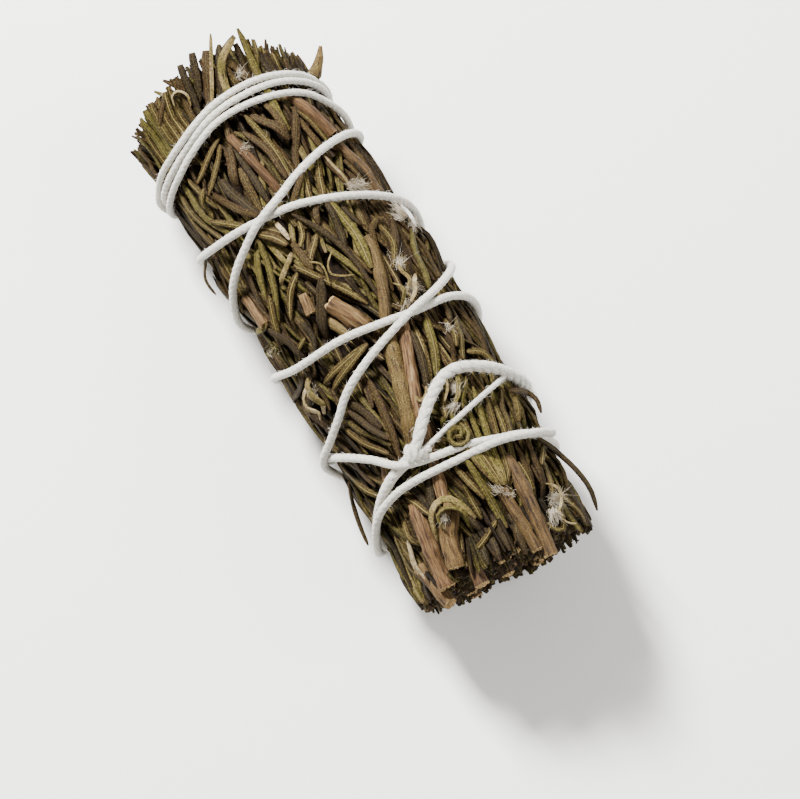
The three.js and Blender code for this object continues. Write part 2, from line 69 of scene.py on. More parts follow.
# The string, as in the model
STRING_RADIUS = 0.7
STRING_FLOOR_GAP = 0.1
STRING_SINK = 0.3  # how deep it beds into the leaves
PRESS_WIDTH = 5
KNOT = (25.2, -22)

# Dried rosemary leaves
LEAF_LENGTH = 19
LEAF_WIDTH = 1.3
LEAF_THICKNESS = 0.68

SEED = 41


# The bundle's own shape
def end_share(x):
    return np.clip(x / HALF_LENGTH, -1.1, 1.1) ** 2


def barrel_radius(x):
    return MIDDLE_RADIUS + (END_RADIUS - MIDDLE_RADIUS) * end_share(x)


def flare(x):
    """How far the leaf tips spread out beyond the last turns of string."""
    return TIP_FLARE * np.maximum(FLARE_FROM - x, 0)


def sway_y(x):
    return AXIS_SIDESTEP - AXIS_SWAY * end_share(x)


def outward(degrees):
    """The way out of the bundle at an angle."""
    angle = np.radians(degrees)
    return np.stack([angle * 0, np.sin(angle), np.cos(angle)], -1)


def sideways(degrees):
    """The way round the bundle at an angle."""
    angle = np.radians(degrees)
    return np.stack([angle * 0, np.cos(angle), -np.sin(angle)], -1)


def unit(vectors):
    """Vectors scaled to a length of one."""
    return vectors / np.maximum(np.linalg.norm(vectors, axis=-1, keepdims=True), 1e-9)


def place(x, degrees, radius):
    """A point in the bundle's frame, in millimetres."""
    x, degrees, radius = np.broadcast_arrays(x, degrees, radius)
    angle = np.radians(degrees)
    return np.stack([x, sway_y(x) + radius * np.sin(angle), AXIS_HEIGHT + radius * np.cos(angle)], -1)


def above_floor(degrees, radius, height):
    """The radius, cut short where it would come lower than a height above the surface it lies on."""
    down = np.maximum(-np.cos(np.radians(degrees)), LEVEL)
    return np.minimum(radius, (AXIS_HEIGHT - height) / down)


def string_radius(x, degrees):
    return above_floor(degrees, barrel_radius(x), STRING_FLOOR_GAP + STRING_RADIUS)


def string_place(x, degrees, lift=0):
    """Where the middle of the string lies on the bundle, or a little over that."""
    return place(x, degrees, string_radius(x, degrees) + lift)


# The string's route, as x and total angle: it winds one way all along, up the bundle and back down
STRING_ROUTE = [
    KNOT, (25.8, -38), (27.0, -52), (28.3, -65), (29.7, -79), (30.8, -95), (31.7, -115), (32.5, -140),
    (32.9, -180), (33.0, -220), (32.8, -260), (32.2, -291), (30.7, -312), (29.8, -334), (28.2, -358),
    (27.3, -374), (25.6, -391),
    (21.2, -408), (17.6, -427), (15.2, -449), (13.4, -490), (11.6, -530), (9.9, -570), (7.6, -610),
    (5.6, -645), (4.9, -672), (5.1, -697), (4.4, -720), (3.1, -743), (1.8, -777), (-1.2, -811),
    (-2.6, -845), (-4.0, -880), (-5.2, -920), (-7.6, -950), (-10.6, -980), (-13.4, -1008), (-15.3, -1035),
    (-17.8, -1063), (-20.0, -1087), (-21.4, -1112), (-23.0, -1143), (-24.8, -1171), (-27.0, -1215),
    (-28.4, -1260), (-29.6, -1305), (-31.4, -1345), (-34.2, -1375), (-36.9, -1395), (-38.2, -1416),
    (-38.9, -1440), (-38.7, -1458), (-37.2, -1478), (-35.6, -1500), (-34.7, -1530), (-35.2, -1575),
    (-35.4, -1620), (-35.6, -1665), (-36.6, -1705), (-38.8, -1742), (-40.2, -1768), (-40.5, -1794),
    (-40.2, -1812), (-38.9, -1834), (-37.3, -1858), (-36.5, -1890), (-36.8, -1935), (-37.0, -1980),
    (-37.2, -2025), (-38.0, -2070), (-40.3, -2100), (-41.7, -2130), (-42.0, -2150), (-41.6, -2170),
    (-40.5, -2186), (-39.3, -2205), (-38.5, -2235), (-36.9, -2268), (-34.6, -2290), (-33.2, -2320),
    (-32.4, -2350), (-31.4, -2375), (-29.8, -2400), (-28.8, -2430), (-28.0, -2462), (-26.4, -2490),
    (-24.2, -2514), (-21.8, -2534), (-19.4, -2558), (-16.4, -2585), (-13.2, -2611), (-11.9, -2645),
    (-10.6, -2680), (-9.4, -2720), (-7.0, -2750), (-4.0, -2780), (-0.9, -2806), (2.9, -2839),
    (5.6, -2868), (7.8, -2892), (10.4, -2916), (13.4, -2936), (15.9, -2971), (17.8, -3010), (20.4, -3050),
    (23.4, -3090), (27.6, -3130), (31.2, -3165), (31.3, -3192), (30.4, -3218), (29.7, -3246), (28.7, -3272),
    (28.5, -3287), (29.2, -3303), (30.8, -3320), (31.9, -3338), (31.3, -3357), (29.8, -3380), (27.6, -3410),
    (25.4, -3440), (23.2, -3480), (21.0, -3515), (20.0, -3538), (21.6, -3560), (23.8, -3589), (25.3, -3612),
    (25.4, -3620),
]
# The two tails, twisted together, arch loosely from the knot over the +Y side. The third number lifts them.
TAIL_ROUTE = [
    (25.2, -20, 1.2), (23.4, -14, 1.2), (21.2, -7, 0.9), (18.7, 3, 0.6), (17.0, 13, 0.4), (16.8, 23, 0.4),
    (18.0, 37, 0.4), (19.6, 51, 0.4), (21.1, 63, 0.4), (22.0, 73, 0.3), (22.5, 83, 0.1), (22.7, 89, 0),
]
ROUTE_STEP = 0.6
CURVE_STEPS = 24


def smooth_line(points):
    """A smooth curve through points, in short steps between each two."""
    p = np.asarray(points, float)
    p = np.vstack([2 * p[0] - p[1], p, 2 * p[-1] - p[-2]])
    t = np.linspace(0, 1, CURVE_STEPS, endpoint=False)[:, None]
    pieces = []
    for a, b, c, d in zip(p, p[1:], p[2:], p[3:]):
        pieces.append(0.5 * (2 * b + (c - a) * t + (2 * a - 5 * b + 4 * c - d) * t**2
                             + (3 * b - 3 * c + d - a) * t**3))
    return np.vstack(pieces + [p[-2:-1]])


def evenly(line, carried, step=None, steps=None):
    """What is carried along a line, at points a step apart or after so many steps, and the line's length."""
    reach = np.concatenate([[0], np.cumsum(np.linalg.norm(np.diff(line, axis=0), axis=1))])
    steps = steps or max(1, int(round(reach[-1] / step)))
    at = np.linspace(0, reach[-1], steps + 1)
    return np.stack([np.interp(at, reach, column) for column in carried.T], -1), reach[-1]


def wound_route(route, step):
    """A route on the bundle as rows of x, total angle and lift, a step apart, and its length."""
    turns = smooth_line([(x, degrees / 360, *(lift or [0])) for x, degrees, *lift in route])
    turns[:, 1] *= 360
    return evenly(string_place(*turns.T), turns, step)


string_turns, string_length = wound_route(STRING_ROUTE, ROUTE_STEP)
string_places = string_place(*string_turns.T)

# How much the string presses the leaves down, from 0 to 1, on a grid over the bundle
GRID_STEP = 0.75
GRID_TURN = 2.5
GRID_X = np.arange(-60, 60.1, GRID_STEP)
GRID_DEGREES = np.arange(0, 361, GRID_TURN)


def press_grid():
    x, degrees = np.meshgrid(GRID_X, GRID_DEGREES, indexing="ij")
    spots = place(x, degrees, above_floor(degrees, barrel_radius(x), 0)).reshape(-1, 3)
    nearest = np.full(len(spots), np.inf)
    for some in np.array_split(string_places[::2], 24):  # in parts, to spare memory
        gap = spots[:, None] - some[None]
        nearest = np.minimum(nearest, (gap * gap).sum(-1).min(1))
    return np.exp(-nearest / PRESS_WIDTH**2).reshape(x.shape)


PRESS = press_grid()


def grid_value(grid, x, degrees):
    """The value of a grid over the bundle at places, between its points."""
    i = np.clip((np.asarray(x) - GRID_X[0]) / GRID_STEP, 0, len(GRID_X) - 1.001)
    j = np.mod(np.asarray(degrees), 360) / GRID_TURN
    i0 = i.astype(int)
    j0 = np.minimum(j.astype(int), len(GRID_DEGREES) - 2)
    u = i - i0
    v = j - j0
    low = grid[i0, j0] * (1 - v) + grid[i0, j0 + 1] * v
    high = grid[i0 + 1, j0] * (1 - v) + grid[i0 + 1, j0 + 1] * v
    return low * (1 - u) + high * u


def leaf_radius(x, degrees):
    """The radius of the leaf tops: they bulge between the turns of string and give way under them."""
    free = above_floor(degrees, barrel_radius(x) + flare(x), 0)
    under = string_radius(x, degrees) - STRING_RADIUS + STRING_SINK
    return free + (np.minimum(under, free) - free) * grid_value(PRESS, x, degrees)


def smooth_field(seed, reach, waves=16, swing=1.3):
    """A smooth random field over the bundle, with waves about a reach long. It closes round it."""
    random = np.random.default_rng(seed)
    along = random.normal(0, 2 * math.pi / reach, waves)
    around = np.round(random.normal(0, 2 * math.pi * MIDDLE_RADIUS / reach, waves))
    start = random.uniform(0, 2 * math.pi, waves)

    def field(x, degrees):
        x, degrees = np.broadcast_arrays(x, degrees)
        angle = x[..., None] * along + np.radians(degrees)[..., None] * around + start
        return np.cos(angle).sum(-1) * swing / math.sqrt(waves)

    return field


# Nodes
def linear(hex_colour):
    """An sRGB hex colour as linear red, green, blue and alpha."""
    parts = [int(hex_colour[i:i + 2], 16) / 255 for i in (1, 3, 5)]
    return [c / 12.92 if c <= 0.04045 else ((c + 0.055) / 1.055) ** 2.4 for c in parts] + [1]


def set_inputs(tree, node, inputs):
    """Sets a node's inputs, by their names or numbers, to values, or links them to outputs."""
    for key, value in inputs.items():
        if isinstance(value, bpy.types.NodeSocket):
            tree.links.new(value, node.inputs[key])
        else:
            node.inputs[key].default_value = value


def add_node(tree, kind, inputs=None, take=0, **settings):
    """Adds a node with its settings, values and links, and gives one of its outputs."""
    node = tree.nodes.new(kind)
    for name, value in settings.items():
        setattr(node, name, value)
    set_inputs(tree, node, inputs or {})
    return node.outputs[take] if node.outputs else node


def scale_of(size):
    """The scale of a pattern on Object coordinates whose features are a size in millimetres."""
    return 1 / (size * MM)


def new_material(name):
    """A material with its Principled BSDF, as material, tree and shader."""
    material = bpy.data.materials.new(name)
    material.use_nodes = True
    tree = material.node_tree
    return material, tree, tree.nodes["Principled BSDF"]


def set_ramp(ramp, stops):
    """Fills a colour ramp with places and hex colours."""
    elements = ramp.node.color_ramp.elements
    while len(elements) < len(stops):
        elements.new(0.5)
    for element, (position, colour) in zip(elements, stops):
        element.position = position
        element.color = linear(colour)


def coated(tree, ground, coats):
    """Lays colours over a ground colour. A coat is what steers it, the values between which it comes in, how
    strong it gets, and its hex colour."""
    for steer, low, high, strength, colour in coats:
        amount = add_node(tree, "ShaderNodeMapRange", {
            "Value": steer, "From Min": low, "From Max": high, "To Max": strength})
        ground = add_node(tree, "ShaderNodeMix", {
            0: amount, 6: ground, 7: linear(colour)}, 2, data_type="RGBA")
    return ground


# Materials
def dried_leaf():
    """Dried rosemary leaf: a leathery skin, olive to brown, speckled with pale resin dots and painted glints,
    with painted shade along its rolled-under margins and in the groove beside its middle, painted shade the
    deeper it lies among the leaves, and a pale line down its middle where the woolly underside shows."""
    material, tree, shader = new_material("dried_rosemary_leaf")
    coords = add_node(tree, "ShaderNodeTexCoord", take="Object")
    tint, across, along, rib, shade = (
        add_node(tree, "ShaderNodeAttribute", take="Fac", attribute_name=name)
        for name in ("tint", "across", "along", "rib", "shade"))
    patches = add_node(tree, "ShaderNodeTexNoise", {"Vector": coords, "Scale": scale_of(2.2), "Detail": 3.0})
    shift = add_node(tree, "ShaderNodeMath", {0: patches, 1: 0.36, 2: -0.18}, operation="MULTIPLY_ADD")
    tinted = add_node(tree, "ShaderNodeMath", {0: tint, 1: shift}, operation="ADD")
    skin = add_node(tree, "ShaderNodeValToRGB", {"Fac": tinted})
    set_ramp(skin, [(0, "#090502"), (0.16, "#180d05"), (0.34, "#2c1a0c"), (0.5, "#33250d"), (0.64, "#342d0d"),
                    (0.78, "#474214"), (0.88, "#73623f"), (1, "#a69678")])

    # The speckle is drawn twice as coarse as the resin dots, which are too fine to show, and is partly
    # painted glints
    dots = add_node(tree, "ShaderNodeTexNoise", {"Vector": coords, "Scale": scale_of(0.17), "Detail": 1.0})
    # How strong the speckle of resin dots and painted glints is, by the leaf's colour
    resin_dots_and_glints = add_node(tree, "ShaderNodeMapRange", {
        "Value": tint, "From Min": 0.2, "From Max": 0.6, "To Min": 0.2, "To Max": 0.5})
    stains = add_node(tree, "ShaderNodeTexNoise", {"Vector": coords, "Scale": scale_of(0.4), "Detail": 2.0})
    side = add_node(tree, "ShaderNodeMath", {0: across}, operation="ABSOLUTE")
    # How strong the painted shade on the rolled margins and in the groove is: weak on pale leaves
    margin_and_groove_shade = add_node(tree, "ShaderNodeMapRange", {
        "Value": tint, "From Min": 0.76, "From Max": 0.9, "To Min": 0.65, "To Max": 0.15})
    # The speckle of resin dots and painted glints, the stains, painted shade on the rolled margins and in the
    # groove beside the middle line, that line, the root, the tip, and painted shade for the depth under the
    # leaf tops
    skin = coated(tree, skin, (
        (dots, 0.48, 0.68, resin_dots_and_glints, "#8f8048"),
        (stains, 0.54, 0.36, 0.6, "#170d06"),
        (side, 0.3, 0.5, margin_and_groove_shade, "#130b06"),
        (side, 0.18, 0.08, margin_and_groove_shade, "#170f07"),
        (side, 0.08, 0.03, rib, "#8d7f4c"),
        (along, 0.1, 0.0, 0.5, "#2e1d0f"),
        (along, 0.94, 1.0, 0.5, "#2e1d0f"),
        (shade, 0.0, 1.0, 0.75, "#0a0603"),
    ))

    dull = add_node(tree, "ShaderNodeMapRange", {"Value": stains, "To Min": 0.5, "To Max": 0.75})
    wrinkles = add_node(tree, "ShaderNodeTexNoise", {
        "Vector": coords, "Scale": scale_of(0.28), "Detail": 3.0, "Roughness": 0.6})
    bump = add_node(tree, "ShaderNodeBump", {"Height": wrinkles, "Strength": 1.0, "Distance": 0.18 * MM})
    set_inputs(tree, shader, {
        "Base Color": skin, "Roughness": dull, "Normal": bump, "IOR": 1.45, "Specular IOR Level": 0.12})
    return material


def twig_bark():
    """Young rosemary bark: thin, orange brown and split lengthwise into fine fibres, olive and dusty where
    the green skin is left."""
    material, tree, shader = new_material("rosemary_twig_bark")
    coords = add_node(tree, "ShaderNodeTexCoord", take="Object")
    fibre_places = add_node(tree, "ShaderNodeAttribute", take="Vector", attribute_name="bark_at")
    tint, dust = (
        add_node(tree, "ShaderNodeAttribute", take="Fac", attribute_name=name) for name in ("tint", "rib"))
    fibres = add_node(tree, "ShaderNodeTexNoise", {
        "Vector": fibre_places, "Scale": 5.0, "Detail": 4.0, "Roughness": 0.65})
    shift = add_node(tree, "ShaderNodeMath", {0: fibres, 1: 1.7, 2: -0.85}, operation="MULTIPLY_ADD")
    tinted = add_node(tree, "ShaderNodeMath", {0: tint, 1: shift}, operation="ADD")
    bark = add_node(tree, "ShaderNodeValToRGB", {"Fac": tinted})
    set_ramp(bark, [(0, "#120a06"), (0.25, "#2a1a0f"), (0.5, "#442d19"), (0.75, "#624a2e"), (1, "#8d7858")])
    grit = add_node(tree, "ShaderNodeTexNoise", {"Vector": coords, "Scale": scale_of(0.19), "Detail": 2.0})
    # The green skin that is left, the dust on it, and painted shade in the cracks between the fibres
    bark = coated(tree, bark, (
        (fibres, 0.3, 0.6, dust, "#4c3f19"),
        (grit, 0.52, 0.78, dust, "#8f8150"),
        (fibres, 0.44, 0.34, 0.8, "#160b05"),
    ))
    bump = add_node(tree, "ShaderNodeBump", {"Height": fibres, "Strength": 1.0, "Distance": 0.2 * MM})
    set_inputs(tree, shader, {
        "Base Color": bark, "Normal": bump, "Roughness": 0.75, "IOR": 1.5, "Specular IOR Level": 0.2})
    return material


def cut_wood():
    """Snipped dry wood: torn pale fibres, dusty and stained."""
    material, tree, shader = new_material("snipped_dry_wood")
    coords = add_node(tree, "ShaderNodeTexCoord", take="Object")
    grain = add_node(tree, "ShaderNodeTexNoise", {
        "Vector": coords, "Scale": scale_of(0.3), "Detail": 4.0, "Roughness": 0.65})
    wood = add_node(tree, "ShaderNodeValToRGB", {"Fac": grain})
    set_ramp(wood, [(0.3, "#3c2816"), (0.44, "#755a36"), (0.56, "#9c8358"), (0.72, "#c2b088")])
    bump = add_node(tree, "ShaderNodeBump", {"Height": grain, "Strength": 1.0, "Distance": 0.25 * MM})
    set_inputs(tree, shader, {
        "Base Color": wood, "Normal": bump, "Roughness": 0.9, "Specular IOR Level": 0.2})
    return material


def pressed_inside():
    """The dense inside of a sprig: leaf crumbs and broken stems pressed together, dark brown, and made nearly
    black by painted shade where it shows in the gaps between the leaves.
    """
    material, tree, shader = new_material("pressed_leaf_crumbs")
    coords = add_node(tree, "ShaderNodeTexCoord", take="Object")
    crumbs = add_node(tree, "ShaderNodeTexNoise", {
        "Vector": coords, "Scale": scale_of(0.9), "Detail": 4.0, "Roughness": 0.7})
    dust = add_node(tree, "ShaderNodeValToRGB", {"Fac": crumbs})
    # Dark brown crumbs, made nearly black by painted shade
    set_ramp(dust, [(0.3, "#080503"), (0.5, "#160e07"), (0.7, "#2b1d0f")])
    bump = add_node(tree, "ShaderNodeBump", {"Height": crumbs, "Strength": 1.0, "Distance": 0.5 * MM})
    set_inputs(tree, shader, {
        "Base Color": dust, "Normal": bump, "Roughness": 0.95, "Specular IOR Level": 0.15})
    return material


def cotton():
    """Undyed cotton twine: soft matt white, its fibres lying along the plies and standing off as fuzz."""
    material, tree, shader = new_material("twisted_cotton")
    coords = add_node(tree, "ShaderNodeTexCoord", take="Object")
    reach, around = (
        add_node(tree, "ShaderNodeAttribute", take="Fac", attribute_name=name)
        for name in ("reach", "around"))
    # Cotton fibres are too fine to show, so the streaks are drawn about ten times as broad
    slant = add_node(tree, "ShaderNodeMath", {0: reach, 1: 1.2 / MM, 2: around}, operation="MULTIPLY_ADD")
    streaks_at = add_node(tree, "ShaderNodeCombineXYZ", {0: around, 1: slant})
    streaks = add_node(tree, "ShaderNodeTexNoise", {"Vector": streaks_at, "Scale": 2.4, "Detail": 3.0})
    fluff = add_node(tree, "ShaderNodeTexNoise", {"Vector": coords, "Scale": scale_of(0.2), "Detail": 3.0})
    fibres = add_node(tree, "ShaderNodeMath", {0: streaks, 1: fluff}, operation="ADD")
    fibres = add_node(tree, "ShaderNodeMath", {0: fibres, 1: 0.5}, operation="MULTIPLY")
    yarn = add_node(tree, "ShaderNodeValToRGB", {"Fac": fibres})
    set_ramp(yarn, [(0.34, "#87847b"), (0.5, "#b9b5aa"), (0.64, "#d8d5cc")])
    patches = add_node(tree, "ShaderNodeTexNoise", {"Vector": coords, "Scale": scale_of(6.0), "Detail": 2.0})
    yarn = coated(tree, yarn, [(patches, 0.5, 0.75, 0.3, "#b5ae9b")])
    bump = add_node(tree, "ShaderNodeBump", {"Height": fibres, "Strength": 0.8, "Distance": 0.12 * MM})
    set_inputs(tree, shader, {
        "Base Color": yarn, "Normal": bump, "Roughness": 0.92, "Specular IOR Level": 0.2,
        "Sheen Weight": 0.35, "Sheen Roughness": 0.5})
    return material


def leaf_wool():
    """The woolly hairs of young shoots and dried flowers: fine, white and matted."""
    material, tree, shader = new_material("dried_leaf_wool")
    coords = add_node(tree, "ShaderNodeTexCoord", take="Object")
    patches = add_node(tree, "ShaderNodeTexNoise", {"Vector": coords, "Scale": scale_of(1.2), "Detail": 2.0})
    wool = add_node(tree, "ShaderNodeValToRGB", {"Fac": patches})
    set_ramp(wool, [(0.35, "#7f7159"), (0.6, "#bdb4a2")])
    set_inputs(tree, shader, {"Base Color": wool, "Roughness": 0.85, "Specular IOR Level": 0.2})
    return material


LEAF = dried_leaf()
BARK = twig_bark()
CUT = cut_wood()
INSIDE = pressed_inside()
COTTON = cotton()
WOOL = leaf_wool()


# Meshes
def new_object(name, mesh):
    piece = bpy.data.objects.new(name, mesh)
    bpy.context.scene.collection.objects.link(piece)
    return piece


def set_values(mesh, name, values):
    """Gives a mesh a named value, or vector, for each of its points."""
    values = np.asarray(values, np.float32)
    kind = "FLOAT" if values.ndim == 1 else "FLOAT_VECTOR"
    layer = mesh.attributes.new(name, kind, "POINT")
    layer.data.foreach_set("value" if values.ndim == 1 else "vector", values.ravel())


def lines_mesh(name, lines, values):
    """A mesh of open lines in metres, from arrays of points. values hold an array for each line, by name."""
    points = np.vstack(lines) * MM
    starts = np.cumsum([0] + [len(line) for line in lines])
    edges = [(i, i + 1) for a, b in zip(starts, starts[1:]) for i in range(a, b - 1)]
    mesh = bpy.data.meshes.new(name)
    mesh.from_pydata(points.tolist(), edges, [])
    for key, arrays in values.items():
        set_values(mesh, key, np.concatenate(arrays))
    return mesh


def plain_piece(name, maker):
    """Turns what a maker's modifiers make into a plain mesh piece, and removes the maker."""
    bpy.context.view_layer.update()
    depsgraph = bpy.context.evaluated_depsgraph_get()
    mesh = bpy.data.meshes.new_from_object(maker.evaluated_get(depsgraph), depsgraph=depsgraph)
    mesh.name = name
    maker.modifiers.clear()
    bpy.data.objects.remove(maker)
    return new_object(name, mesh)


def new_geometry_tree(name, sockets):
    """A geometry tree with its named inputs, as the tree and its input node."""
    tree = bpy.data.node_groups.new(name, "GeometryNodeTree")
    tree.interface.new_socket("Geometry", in_out="INPUT", socket_type="NodeSocketGeometry")
    for socket, kind in sockets.items():
        tree.interface.new_socket(socket, in_out="INPUT", socket_type="NodeSocket" + kind)
    tree.interface.new_socket("Geometry", in_out="OUTPUT", socket_type="NodeSocketGeometry")
    return tree, tree.nodes.new("NodeGroupInput")


def give_modifier(maker, tree, values):
    """Adds a tree to an object and sets its inputs by their identifiers."""
    modifier = maker.modifiers.new(tree.name, "NODES")
    modifier.node_group = tree
    for item in tree.interface.items_tree:
        if item.in_out == "INPUT" and item.name in values:
            modifier[item.identifier] = values[item.name]
    return modifier


def add_sweep(tree, lines, section, width, material):
    """Sweeps a section along lines, which carry their girth and the way their upper side faces."""
    curve = add_node(tree, "GeometryNodeMeshToCurve", {"Mesh": lines})
    lie = add_node(tree, "GeometryNodeInputNamedAttribute", {"Name": "lie"}, data_type="FLOAT_VECTOR")
    turned = add_node(tree, "GeometryNodeSetCurveNormal", {"Curve": curve, "Normal": lie}, mode="FREE")
    girth = add_node(tree, "GeometryNodeInputNamedAttribute", {"Name": "girth"}, data_type="FLOAT")
    wide = add_node(tree, "ShaderNodeMath", {0: girth, 1: width}, operation="MULTIPLY")
    outline = add_node(tree, "GeometryNodeObjectInfo", {"Object": section}, "Geometry")
    profile = add_node(tree, "GeometryNodeMeshToCurve", {"Mesh": outline})
    swept = add_node(tree, "GeometryNodeCurveToMesh", {
        "Curve": turned, "Profile Curve": profile, "Scale": wide, "Fill Caps": True})
    smooth = add_node(tree, "GeometryNodeSetShadeSmooth", {"Geometry": swept})
    return add_node(tree, "GeometryNodeSetMaterial", {"Geometry": smooth, "Material": material})


def sprig_tree():
    """Sweeps a sprig's leaves and hairs along their lines, strews its crumbs, and adds its wood."""
    tree, given = new_geometry_tree("rosemary_sprig", {
        "Leaf section": "Object", "Leaf width": "Float", "Leaf material": "Material",
        "Hairs": "Object", "Hair section": "Object", "Hair width": "Float", "Hair material": "Material",
        "Crumb places": "Object", "Crumb": "Object", "Crumb material": "Material", "Wood": "Object"})
    give = given.outputs
    leafy = add_sweep(tree, give["Geometry"], give["Leaf section"], give["Leaf width"], give["Leaf material"])
    hairs = add_node(tree, "GeometryNodeObjectInfo", {"Object": give["Hairs"]}, "Geometry")
    woolly = add_sweep(tree, hairs, give["Hair section"], give["Hair width"], give["Hair material"])
    places = add_node(tree, "GeometryNodeObjectInfo", {"Object": give["Crumb places"]}, "Geometry")
    crumb = add_node(tree, "GeometryNodeObjectInfo", {"Object": give["Crumb"]}, "Geometry")
    turn = add_node(tree, "GeometryNodeInputNamedAttribute", {"Name": "turn"}, data_type="FLOAT_VECTOR")
    size = add_node(tree, "GeometryNodeInputNamedAttribute", {"Name": "size"}, data_type="FLOAT_VECTOR")
    strewn = add_node(tree, "GeometryNodeInstanceOnPoints", {
        "Points": places, "Instance": crumb, "Rotation": turn, "Scale": size})
    crumbs = add_node(tree, "GeometryNodeSetMaterial", {
        "Geometry": add_node(tree, "GeometryNodeRealizeInstances", {"Geometry": strewn}),
        "Material": give["Crumb material"]})
    wood = add_node(tree, "GeometryNodeObjectInfo", {"Object": give["Wood"]}, "Geometry")
    whole = add_node(tree, "GeometryNodeJoinGeometry")
    for part in (wood, leafy, woolly, crumbs):
        tree.links.new(part, whole.node.inputs[0])
    real = add_node(tree, "GeometryNodeRealizeInstances", {"Geometry": whole})
    add_node(tree, "NodeGroupOutput", {0: real})
    return tree


# The cross-section of a leaf as height and place across, one leaf wide: its margins are rolled under, and its
# middle lies in a groove on both sides
LEAF_SECTION = [
    (0.02, -0.5), (-0.2, -0.32), (-0.1, 0), (-0.2, 0.32), (0.02, 0.5),
    (0.2, 0.4), (0.17, 0.28), (0.27, 0.16), (0.17, 0), (0.27, -0.16), (0.17, -0.28), (0.2, -0.4),
]
HAIR_SECTION = [(0.5, 0), (-0.25, 0.43), (-0.25, -0.43)]
HAIR_WIDTH = 0.06  # a lock of wool, as single hairs are too fine to show


def section_object(name, section):
    mesh = bpy.data.meshes.new(name)
    points = [(height, across, 0) for height, across in section]
    mesh.from_pydata(points, [(i, (i + 1) % len(points)) for i in range(len(points))], [])
    set_values(mesh, "across", [across for _, across in section])
    return bpy.data.objects.new(name, mesh)


# The heap of leaves. Its grid holds how high the leaves lie so far, under the leaf tops, and each new leaf
# is laid on those before it.
HEAP_STEP = 0.4
AROUND = 2 * math.pi * MIDDLE_RADIUS
HEAP_LENGTH = 116
END_SUPPORT = -0.8  # at the ends the leaves lie on the shoots inside, and don't dip
LEAFY_SUPPORT_FROM = -45
CUT_SUPPORT_FROM = 42
SUPPORT_RISE = 3
heap = np.full((int(HEAP_LENGTH / HEAP_STEP), int(round(AROUND / HEAP_STEP))), -SHELL_DEPTH)
heap_x = (np.arange(heap.shape[0]) + 0.5) * HEAP_STEP - HEAP_LENGTH / 2
near_end = np.clip(np.maximum(LEAFY_SUPPORT_FROM - heap_x, heap_x - CUT_SUPPORT_FROM) / SUPPORT_RISE, 0, 1)
heap += (near_end * (SHELL_DEPTH + END_SUPPORT))[:, None]
ACROSS_SHARES = np.array([-0.42, -0.21, 0, 0.21, 0.42])
MARGIN_DROP = 0.3
# From what a leaf lies on to its middle, and from there to its top, as shares of its thickness
LEAF_REST = 0.42
LEAF_TOP = 0.4
LEAF_STIFFNESS = 2.6
FRONT_STIFFNESS = 2.2


def heap_cells(x, arc):
    i = np.clip(((x + HEAP_LENGTH / 2) / HEAP_STEP).astype(int), 0, heap.shape[0] - 1)
    j = np.mod((arc / HEAP_STEP).astype(int), heap.shape[1])
    return i, j


def footprint(x, arc, width):
    """The heap's cells under a leaf whose middle line is given, in a row across it for each of its points."""
    dx = np.gradient(x)
    da = np.gradient(arc)
    size = np.hypot(dx, da) + 1e-9
    offsets = ACROSS_SHARES[None] * width
    return heap_cells(x[:, None] - da[:, None] / size[:, None] * offsets,
                      arc[:, None] + dx[:, None] / size[:, None] * offsets)


def settled(support, stiffness, give=0.1, reach=6):
    """The heights at which a stiff leaf comes to lie on its supports, giving a little from step to step."""
    raised = support.copy()
    for shift in (1, 2):
        raised[shift:] = np.maximum(raised[shift:], support[:-shift] - give * shift)
        raised[:-shift] = np.maximum(raised[:-shift], support[shift:] - give * shift)
    window = np.exp(-0.5 * (np.arange(-reach, reach + 1) / stiffness) ** 2)
    padded = np.pad(raised, reach, mode="edge")
    return np.convolve(padded, window / window.sum(), mode="valid")


def thickness_of(width):
    return LEAF_THICKNESS * width / LEAF_WIDTH


def raise_heap(cells, heights, width):
    """Raises the heap by a leaf, whose margins lie a little lower than its middle."""
    tops = heights + thickness_of(width) * LEAF_REST
    heap[cells] = np.maximum(heap[cells], tops[:, None] - MARGIN_DROP * ACROSS_SHARES**2)


# Leaves
STATIONS = np.array([0, 0.05, 0.16, 0.3, 0.45, 0.6, 0.76, 0.91, 1.0])
LEAF_OUTLINE = np.array([0.42, 0.64, 0.86, 0.97, 1.0, 0.98, 0.93, 0.78, 0.34])
CUT_OUTLINE = np.array([0.82, 0.92, 0.96, 0.98, 1.0, 0.98, 0.96, 0.92, 0.72])
SHRINKING = 0.05  # leaves shrink unevenly as they dry
LEAF_UNDERSIDE = 0.3  # how far a leaf reaches down from its middle, as a share of its width
leaves = []
leaf_random = np.random.default_rng(SEED + 5)


def sector_of(degrees):
    """The number of the outer sprig at an angle."""
    return int(np.floor(degrees * OUTER_SPRIGS / 360 + 0.5)) % OUTER_SPRIGS


def lie_along(points, out, roll=0):
    """The way the upper side faces of a leaf that follows points, rolled by an angle from facing outwards."""
    tangent = unit(np.gradient(points, axis=0))
    side = unit(np.cross(tangent, out))
    angle = np.radians(np.broadcast_to(roll, len(points)))[:, None]
    return np.cross(side, tangent) * np.cos(angle) + side * np.sin(angle)


def depth_shade(heights):
    """How much painted shade darkens leaves for their depth under the leaf tops, from 0 to 1."""
    return np.clip(-heights / SHELL_DEPTH * 1.1 - 0.25, 0, 1)


